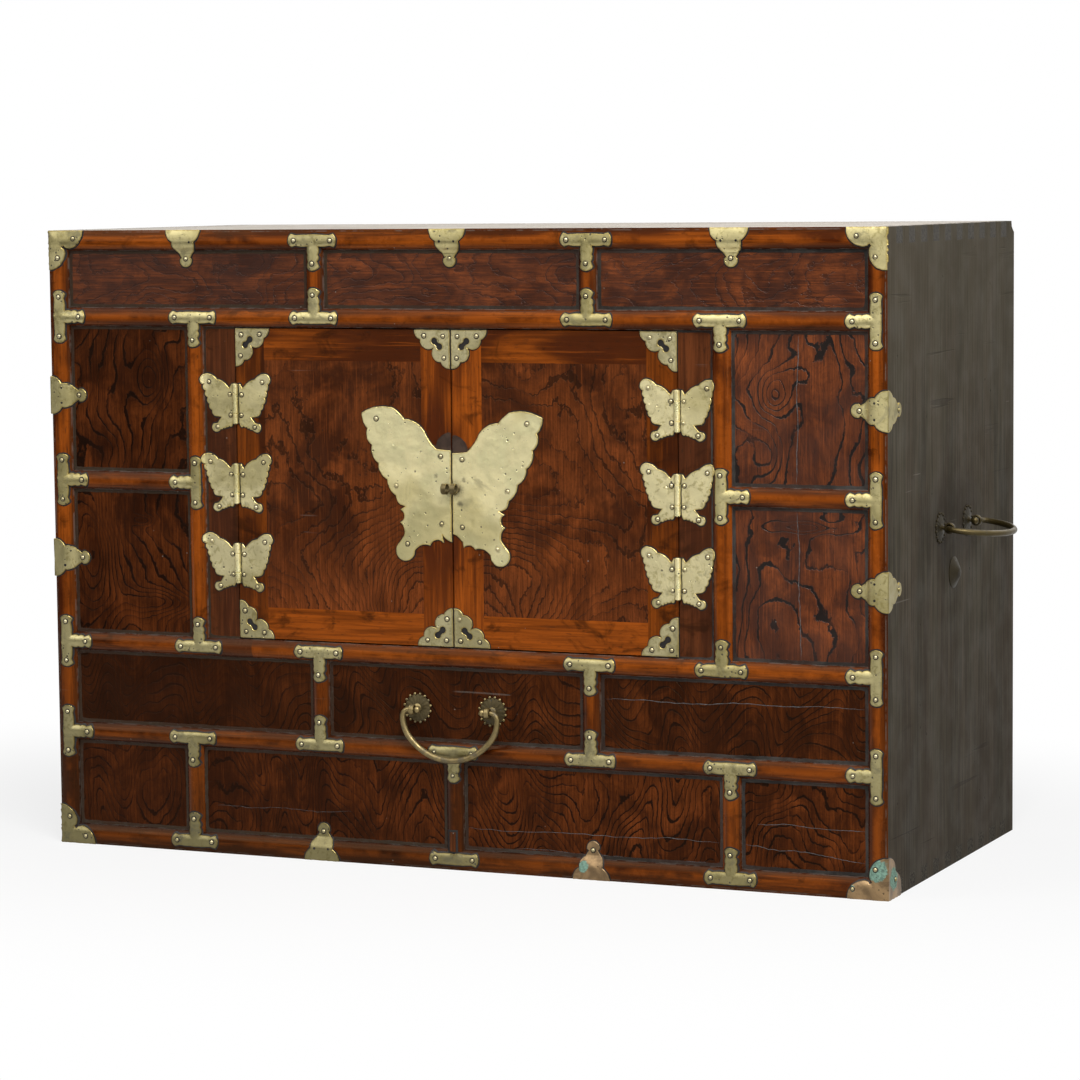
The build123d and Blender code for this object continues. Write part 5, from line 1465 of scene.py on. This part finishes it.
def geometry_group(name, inputs, build):
    """Geometry node group, built at its first use; inputs are (name, kind, default)."""
    if name in bpy.data.node_groups:
        return bpy.data.node_groups[name]
    group = bpy.data.node_groups.new(name, "GeometryNodeTree")
    group.interface.new_socket("Geometry", in_out="INPUT", socket_type="NodeSocketGeometry")
    for label, kind, default in inputs:
        group.interface.new_socket(label, in_out="INPUT", socket_type=kind).default_value = default
    group.interface.new_socket("Material", in_out="INPUT", socket_type="NodeSocketMaterial")
    group.interface.new_socket("Geometry", in_out="OUTPUT", socket_type="NodeSocketGeometry")
    nodes = Nodes(group)
    start = nodes.outs("NodeGroupInput")
    shape = build(nodes, start)
    for kind in ("GeometryNodeRealizeInstances", "GeometryNodeSetShadeSmooth"):
        shape = nodes.out(kind, {"Geometry": shape})
    shape = nodes.out("GeometryNodeSetMaterial", {"Geometry": shape, "Material": start["Material"]})
    nodes.add("NodeGroupOutput", {0: shape})
    return group


def named(nodes, name, kind="FLOAT"):
    """A named attribute of the points."""
    return nodes.out("GeometryNodeInputNamedAttribute", {"Name": name}, "Attribute", data_type=kind)


def domed_heads(nodes, start):
    """Domed heads on points, each facing its point's own way, slightly uneven in size."""
    dome = nodes.out("GeometryNodeMeshUVSphere", {"Segments": 12, "Rings": 8, "Radius": 1.0}, "Mesh")
    scale = nodes.out("ShaderNodeCombineXYZ", {0: start["Radius"], 1: start["Radius"], 2: start["Height"]})
    dome = nodes.out("GeometryNodeTransform", {"Geometry": dome, "Scale": scale})
    way = named(nodes, "facing", "FLOAT_VECTOR")
    turn = nodes.out("FunctionNodeAlignRotationToVector", {"Vector": way}, axis="Z")
    limits = {2: 1.0 - start["Spread"], 3: 1.0 + start["Spread"], "Seed": start["Seed"]}
    uneven = nodes.out("FunctionNodeRandomValue", limits, 1, data_type="FLOAT")
    inputs = {"Points": start["Geometry"], "Instance": dome, "Rotation": turn}
    return nodes.out("GeometryNodeInstanceOnPoints", inputs | {"Scale": named(nodes, "size") * uneven})


def forged_rod(nodes, start):
    """Forged rod swept along a line of points, as thick as each point's own radius."""
    thick = named(nodes, "thick")
    curve = nodes.out("GeometryNodeMeshToCurve", {"Mesh": start["Geometry"]})
    sized = nodes.out("GeometryNodeSetCurveRadius", {"Curve": curve, "Radius": thick})
    section = nodes.out("GeometryNodeCurvePrimitiveCircle", {"Resolution": start["Sides"], "Radius": 1.0})
    inputs = {"Curve": sized, "Profile Curve": section, "Scale": thick, "Fill Caps": True}
    return nodes.out("GeometryNodeCurveToMesh", inputs)


def grown_piece(name, group, points, edges, attributes, inputs, finish, replaces=(), body="cabinet"):
    """Runs a geometry node group on points and keeps the result as a plain mesh."""
    mesh = bpy.data.meshes.new(name)
    mesh.from_pydata([tuple(Vector(p) * MM) for p in points], edges, [])
    for key, (kind, field, values) in attributes.items():
        mesh.attributes.new(key, kind, "POINT").data.foreach_set(field, values)
    thing = linked(name, mesh)
    modifier = thing.modifiers.new("Build", "NODES")
    modifier.node_group = group
    inputs = {**inputs, "Material": finish_for(finish)}
    for item in group.interface.items_tree:
        if item.item_type == "SOCKET" and item.in_out == "INPUT" and item.name in inputs:
            modifier[item.identifier] = inputs[item.name]
    thing.update_tag()
    evaluated = thing.evaluated_get(bpy.context.evaluated_depsgraph_get())
    result = bpy.data.meshes.new_from_object(evaluated)
    thing.modifiers.clear()
    thing.data = result
    handed_over(thing, body, replaces)


def heads_piece(name, places, radius, height, spread, finish, body="cabinet"):
    """Domed heads of one size at many places, as one piece."""
    group = geometry_group("Domed heads", [
        ("Radius", "NodeSocketFloat", 0.0018), ("Height", "NodeSocketFloat", 0.0012),
        ("Spread", "NodeSocketFloat", 0.1), ("Seed", "NodeSocketInt", 4),
    ], domed_heads)
    points, ways, sizes = zip(*places)
    attributes = {
        "facing": ("FLOAT_VECTOR", "vector", [c for way in ways for c in way]),
        "size": ("FLOAT", "value", sizes),
    }
    inputs = {"Radius": radius * MM, "Height": height * MM, "Spread": spread}
    grown_piece(name, group, points, [], attributes, inputs, finish, (), body)


def build_nails():
    """Domed nails of every plate, the dark rings round them (grime and painted shade) and the empty nail
    holes.
    """
    radius, height = brass_size("nail_radius"), brass_size("nail_height")
    for body, places in NAILS.items():
        heads_piece(f"{body}_nails", places, radius, height, 0.12, "nails", body)
        # Dark ring under each head: grime and painted shade.
        heads_piece(f"{body}_nail_dirt", places, radius * 1.38, 0.16, 0.1, "dirt", body)
    for body, places in NAIL_HOLES.items():
        # Empty nail holes as dark discs: grime and painted shade in each hole.
        heads_piece(f"{body}_nail_holes", places, radius, 0.12, 0.1, "dirt", body)


def bail_line(half):
    """Middle line of a bail hanging from its pivot, as (x, z) points, ends turned in through the eyes."""
    a, b, r, bend_radius, reach = half + 10.0, 40.0, 32.0, 6.5, 46.5
    sweep_radius = ((a - r) ** 2 + b * b - r * r) / (2 * (b - r))
    hub = Vector((a - r, -bend_radius))
    centre = Vector((0.0, sweep_radius - reach))
    turn = math.atan2(hub.x, centre.y - hub.y)
    start, bend = half - 6.5, a - bend_radius
    points = [(start + (bend - start) * i / 5, 0.0) for i in range(5)]
    for middle, radius, first, last, steps, skip in (
        ((bend, -bend_radius), bend_radius, math.pi / 2, 0.0, 8, 0), (hub, r, 0.0, turn - math.pi / 2, 24, 1),
        (centre, sweep_radius, turn - math.pi / 2, -math.pi / 2, 10, 1),
    ):
        for i in range(skip, steps + 1):
            t = first + (last - first) * i / steps
            points.append((middle[0] + radius * math.cos(t), middle[1] + radius * math.sin(t)))
    return points + [(-x, z) for x, z in reversed(points[:-1])]


def bail_piece(name, half, place, finish):
    """Bail of uneven thickness with a knob inside each eye; place turns (x, z) into a point."""
    line = bail_line(half)
    count = len(line)
    thick = [(2.95 - 0.95 * abs(2 * i / (count - 1) - 1) ** 3) * MM for i in range(count)]
    group = geometry_group("Forged rod", [("Sides", "NodeSocketInt", 16)], forged_rod)
    edges = [(i, i + 1) for i in range(count - 1)]
    points, attributes = [place(x, z) for x, z in line], {"thick": ("FLOAT", "value", thick)}
    grown_piece(name, group, points, edges, attributes, {}, finish, [name], name)
    knobs = Shell()
    axis = (Vector(place(1.0, 0.0)) - Vector(place(0.0, 0.0))).normalized()
    profile = [(3.5 * math.sin(math.pi * k / 8) + 0.05, -3.1 * math.cos(math.pi * k / 8)) for k in range(9)]
    for side in (-1, 1):
        knobs.turned(profile, Vector(place(side * (half - 5.2), 0.0)), axis, 18)
    knobs.piece(f"{name}_knobs", "dark_brass", finish, (), name)


def rosette(shell, centre, out, radius=12.6, sides=64, petals=16):
    """Domed disc with faint petals under a handle's eye; gives the places of the beads round it."""
    centre, out, up = Vector(centre), Vector(out), Vector((0, 0, 1))
    across = up.cross(out).normalized()
    rings = (0.0, 0.25, 0.5, 0.7, 0.85, 0.95, 1.0)
    over = []
    for share in rings:
        for i, way in enumerate(spokes(across, up, sides)):
            petal = math.cos(petals * 2 * math.pi * i / sides)
            rise = 0.5 + 1.5 * (1 - share**2) + 0.22 * petal * share**2
            over.append(centre + way * max(share * radius * (1 + 0.02 * petal), 0.02) + out * rise)
    last = (len(rings) - 1) * sides
    rim = [(last + i, last + (i + 1) % sides) for i in range(sides)]
    under = [p - out * ((p - centre).dot(out) - 0.02) for p in over]
    faces = grid(len(rings), sides, inwards=True) + [list(range(sides))]
    shell.closed_sheet(over, under, faces, rim)
    return [(centre + way * (radius + 0.9) + out * 0.75, out, 1.0) for way in spokes(across, up, petals, 0.5)]


def eye_bolt(shell, pivot, out, axis, wood_face, depth):
    """Eye on a shank, with its collar and the two legs clinched behind the wood."""
    pivot, out = Vector(pivot), Vector(out)
    shell.ring(2.75, 5.1, 2.4, pivot, axis, soft=0.8)
    stand = (pivot - Vector(wood_face)).dot(out)
    foot = pivot - out * stand
    shell.turned([(0.2, 0.4), (4.6, 0.6), (4.2, 1.9), (2.4, 2.9), (0.2, 3.1)], foot, out, 18)
    shell.turned([(1.5, -depth - 0.6), (1.7, stand - 4.2)], foot, out, 10)
    legs = foot - out * (depth + 0.8)
    shell.turned([(0.3, -9.0), (0.8, -8.6), (0.8, 8.6), (0.3, 9.0)], legs, (0, 0, 1), 10)


def build_handles():
    """Front bail and side bails with their eyes, rosettes and strike plates."""
    panel_y = FRONT + PANEL_LEVEL
    bail_piece("front_bail", FRONT_SPAN, lambda x, z: (x, FRONT_BAIL_Y, FRONT_BAIL_Z + z), "bronze")
    eyes, discs, beads = Shell(), Shell(), []
    for x in (-FRONT_SPAN, FRONT_SPAN):
        face = (x, panel_y, FRONT_BAIL_Z)
        eye_bolt(eyes, (x, FRONT_BAIL_Y, FRONT_BAIL_Z), (0, -1, 0), (1, 0, 0), face, 8.0)
        beads += rosette(discs, face, (0, -1, 0))
    eyes.piece("Front_handle_eyes", "dark_brass", "bronze", ["front_handle_eyes"])
    discs.piece("Front_rosettes", "dark_brass", "bronze_dark", ["front_handle_rosettes"])
    heads_piece("Front_rosette_beads", beads, 1.35, 1.1, 0.1, "bronze")
    strike = [
        (0.3, 0.02), (14.6, 0.02), (14.8, 0.5), (13.0, 1.5), (9.0, 3.6), (5.0, 5.6), (3.6, 6.4), (0.3, 6.55)
    ]
    for side, label in ((-1, "left"), (1, "right")):
        pivot_x = side * SIDE_BAIL_X

        def place(x, z, pivot_x=pivot_x, side=side):
            return pivot_x - side * z * math.cos(DROOP), x, SIDE_BAIL_Z + z * math.sin(DROOP)

        bail_piece(f"{label}_bail", SIDE_SPAN, place, "bronze_side")
        eyes, mounts, beads = Shell(), Shell(), []
        for y in (-SIDE_SPAN, SIDE_SPAN):
            face = (side * HALF, y, SIDE_BAIL_Z)
            eye_bolt(eyes, (pivot_x, y, SIDE_BAIL_Z), (side, 0, 0), (0, 1, 0), face, 18.0)
            beads += rosette(mounts, face, (side, 0, 0))
        mounts.turned(strike, (side * HALF, 0.0, STRIKE_Z), (side, 0, 0), 40)
        eyes.piece(f"{label}_handle_eyes", "dark_brass", "bronze_dark", [f"{label}_handle_eyes"])
        mounts.piece(f"{label}_handle_mounts", "dark_brass", "mount_dark", [f"{label}_handle_mounts"])
        heads_piece(f"{label}_rosette_beads", beads, 1.35, 1.1, 0.1, "mount_dark")


# ------------------------------------------------------------------ woods of the frame

WOODS = {
    "frame_x": ("frame_top_rail", "frame_bottom_rail", "door_head_rail", "lower_rail", "mid_rails"),
    "frame_z": (
        "frame_left_stile", "frame_right_stile", "left_post", "right_post", "top_row_stiles",
        "lower_row_stiles", "foot_row_stiles",
    ),
    "sill": ("door_sill_rail",),
    "strip": ("hinge_strips",),
    "panel_top": ("top_row_panels",),
    "panel_low": ("lower_row_panels",),
    "panel_foot": ("foot_row_panels",),
    "panel_left": ("left_column_panels",),
    "panel_right": ("right_column_panels",),
    "side": ("left_side_board", "right_side_board"),
    "top": ("top_board",),
    "end": ("bottom_board",),
    "back": ("back_board", "door_stops"),
    "band_z": ("left_door_stiles", "right_door_stiles"),
    "band_x": ("left_door_rails", "right_door_rails"),
    "panel_door": ("left_door_panel", "right_door_panel"),
}


def finish_wood():
    """Finishes for every wooden node of the frame."""
    for finish, members in WOODS.items():
        for node in members:
            paint(node, finish)


# ------------------------------------------------------------------ stage

def add_softbox(name, place, target, size, power):
    """Rectangular area light aimed at a target."""
    lamp = bpy.data.lights.new(name, "AREA")
    lamp.shape = "RECTANGLE"
    lamp.size, lamp.size_y = size
    lamp.energy = power
    thing = linked(name, lamp)
    thing.location = place
    thing.rotation_euler = (Vector(target) - Vector(place)).to_track_quat("-Z", "Y").to_euler()


def add_camera(lens):
    """Camera at the chest's right, a little above it."""
    camera = bpy.data.cameras.new("Camera")
    camera.lens = lens
    camera.sensor_width = 36.0
    camera.clip_end = 100.0
    eye = linked("Camera", camera)
    right, up = Vector((0.91564, 0.40187, -0.00996)), Vector((-0.02965, 0.09223, 0.99529))
    place = Vector((1.4436, -3.2689, 0.6382))
    rows = zip(right, up, right.cross(up), place)
    eye.matrix_world = Matrix((*rows, (0, 0, 0, 1)))
    bpy.context.scene.camera = eye


def add_floor(reach=4.0, front_edge=-1.0):
    """Pale floor that goes over into white away from the chest."""
    mesh = bpy.data.meshes.new("Floor")
    corners = [(-reach, front_edge, 0.0), (reach, front_edge, 0.0), (reach, reach, 0.0), (-reach, reach, 0.0)]
    mesh.from_pydata(corners, [], [(0, 1, 2, 3)])
    floor = linked("Floor", mesh)
    material = bpy.data.materials.new("Studio floor")
    material.use_nodes = True
    material.node_tree.nodes.clear()
    nodes = Nodes(material.node_tree)
    plain = nodes.out("ShaderNodeBsdfDiffuse", {"Color": (0.86, 0.86, 0.86, 1.0)})
    white = nodes.out("ShaderNodeEmission", {"Color": (1.0, 1.0, 1.0, 1.0), "Strength": 1.0})
    path = nodes.outs("ShaderNodeLightPath")
    seen = path["Is Camera Ray"] | path["Is Glossy Ray"] | path["Is Transmission Ray"]
    share = nodes.length(nodes.stretch(nodes.place(), (0.85, 1.25, 1.0))).ramp(0.4, 1.05, 0.8, 1.0)
    mixed = nodes.out("ShaderNodeMixShader", {0: seen * share, 1: plain, 2: white})
    nodes.add("ShaderNodeOutputMaterial", {"Surface": mixed})
    mesh.materials.append(material)


def add_world():
    """Dim surroundings that show as white, with a pale window and ceiling in reflections."""
    world = bpy.data.worlds.new("Studio")
    bpy.context.scene.world = world
    world.use_nodes = True
    world.node_tree.nodes.clear()
    nodes = Nodes(world.node_tree)
    path = nodes.outs("ShaderNodeLightPath")
    x, y, z = nodes.apart(nodes.out("ShaderNodeTexCoord", which="Generated"))
    window = x.ramp(-0.6, -0.28) * z.ramp(-0.24, 0.06)
    seen = y.ramp(0.0, 0.5) | window * 0.85 + z.ramp(0.15, 0.75, 0.06, 2.0)
    mirror = path["Is Glossy Ray"] | path["Is Transmission Ray"]
    level = mirror * (seen - 0.2) + 0.2 | path["Is Camera Ray"]
    background = nodes.out("ShaderNodeBackground", {"Color": (1.0, 1.0, 1.0, 1.0), "Strength": level})
    nodes.add("ShaderNodeOutputWorld", {"Surface": background})


def build_stage():
    """Camera, floor, backdrop light and softboxes."""
    settings = bpy.context.scene.chest_stage
    add_camera(settings.lens)
    add_floor()
    add_world()
    centre = (0.0, -0.1, 0.3)
    add_softbox("Key", (1.05, -1.6, 2.15), (0.2, -0.2, 0.35), (1.0, 0.8), settings.key)
    add_softbox("Fill", (-2.2, -2.4, 1.5), centre, (1.6, 1.6), settings.fill)
    add_softbox("Strip", (2.1, -1.5, 0.75), (0.3, -0.2, 0.4), (0.12, 1.4), 0.2 * settings.fill)
    add_softbox("Top", (0.2, -0.75, 2.6), centre, (2.6, 0.9), settings.top)
    bpy.context.scene.view_settings.view_transform = "Standard"


# ------------------------------------------------------------------ operators, panel and registration

class CHEST_OT_finish_wood(bpy.types.Operator):
    """Give every wooden part its finish"""

    bl_idname = "chest.finish_wood"
    bl_label = "Finish Wood"

    def execute(self, context):
        finish_wood()
        return {"FINISHED"}


class CHEST_OT_borders(bpy.types.Operator):
    """Add the dark strips round the panels"""

    bl_idname = "chest.borders"
    bl_label = "Panel Borders"

    def execute(self, context):
        build_borders()
        return {"FINISHED"}


class CHEST_OT_cracks(bpy.types.Operator):
    """Add the filled cracks of the panels"""

    bl_idname = "chest.cracks"
    bl_label = "Filled Cracks"

    def execute(self, context):
        build_cracks()
        return {"FINISHED"}


class CHEST_OT_patch(bpy.types.Operator):
    """Add the block let into the middle stile"""

    bl_idname = "chest.patch"
    bl_label = "Stile Patch"

    def execute(self, context):
        build_patch()
        return {"FINISHED"}


class CHEST_OT_brackets(bpy.types.Operator):
    """Add the T brackets over the frame's joints"""

    bl_idname = "chest.brackets"
    bl_label = "T Brackets"

    def execute(self, context):
        build_brackets()
        return {"FINISHED"}


class CHEST_OT_corner_plates(bpy.types.Operator):
    """Add the plates of the four outer corners"""

    bl_idname = "chest.corner_plates"
    bl_label = "Corner Plates"

    def execute(self, context):
        build_corner_plates()
        return {"FINISHED"}


class CHEST_OT_edge_plates(bpy.types.Operator):
    """Add the three-lobed plates on the edges"""

    bl_idname = "chest.edge_plates"
    bl_label = "Edge Plates"

    def execute(self, context):
        build_edge_plates()
        return {"FINISHED"}


class CHEST_OT_door_corners(bpy.types.Operator):
    """Add the pierced plates of the doors"""

    bl_idname = "chest.door_corners"
    bl_label = "Door Corner Plates"

    def execute(self, context):
        build_door_corners()
        return {"FINISHED"}


class CHEST_OT_lock(bpy.types.Operator):
    """Add the large butterfly and its eyes"""

    bl_idname = "chest.lock"
    bl_label = "Butterfly Lock"

    def execute(self, context):
        build_lock()
        return {"FINISHED"}


class CHEST_OT_hinges(bpy.types.Operator):
    """Add the six hinges"""

    bl_idname = "chest.hinges"
    bl_label = "Butterfly Hinges"

    def execute(self, context):
        build_hinges()
        return {"FINISHED"}


class CHEST_OT_handles(bpy.types.Operator):
    """Add the three bails and their mounts"""

    bl_idname = "chest.handles"
    bl_label = "Bail Handles"

    def execute(self, context):
        build_handles()
        return {"FINISHED"}


class CHEST_OT_nails(bpy.types.Operator):
    """Add the nails of all plates"""

    bl_idname = "chest.nails"
    bl_label = "Nails"

    def execute(self, context):
        build_nails()
        return {"FINISHED"}


class CHEST_OT_stage(bpy.types.Operator):
    """Add the camera, floor and lights"""

    bl_idname = "chest.stage"
    bl_label = "Studio"

    def execute(self, context):
        build_stage()
        return {"FINISHED"}


OPERATORS = [
    CHEST_OT_finish_wood, CHEST_OT_borders, CHEST_OT_cracks, CHEST_OT_patch, CHEST_OT_brackets,
    CHEST_OT_corner_plates, CHEST_OT_edge_plates, CHEST_OT_door_corners, CHEST_OT_lock, CHEST_OT_hinges,
    CHEST_OT_handles, CHEST_OT_nails, CHEST_OT_stage,
]


class CHEST_PT_panel(bpy.types.Panel):
    """Builders of the chest, in order."""

    bl_idname = "CHEST_PT_panel"
    bl_label = "Stacking Chest"
    bl_space_type = "VIEW_3D"
    bl_region_type = "UI"
    bl_category = "Chest"

    def draw(self, context):
        for settings in (context.scene.chest_wood, context.scene.chest_brass, context.scene.chest_stage):
            box = self.layout.box()
            for key in settings.bl_rna.properties.keys():
                if key not in {"rna_type", "name"}:
                    box.prop(settings, key)
        for each in OPERATORS:
            self.layout.operator(each.bl_idname)


CLASSES = [ChestWood, ChestBrass, ChestStage, *OPERATORS, CHEST_PT_panel]


def register():
    """Adds the classes and the settings."""
    for each in CLASSES:
        bpy.utils.register_class(each)
    bpy.types.Scene.chest_wood = bpy.props.PointerProperty(type=ChestWood)
    bpy.types.Scene.chest_brass = bpy.props.PointerProperty(type=ChestBrass)
    bpy.types.Scene.chest_stage = bpy.props.PointerProperty(type=ChestStage)


def unregister():
    """Removes the settings and the classes."""
    del bpy.types.Scene.chest_stage
    del bpy.types.Scene.chest_brass
    del bpy.types.Scene.chest_wood
    for each in reversed(CLASSES):
        bpy.utils.unregister_class(each)


def main():
    """Builds the chest with its operators."""
    register()
    for each in OPERATORS:
        getattr(bpy.ops.chest, each.bl_idname.split(".")[1])()


if __name__ == "__main__":
    main()
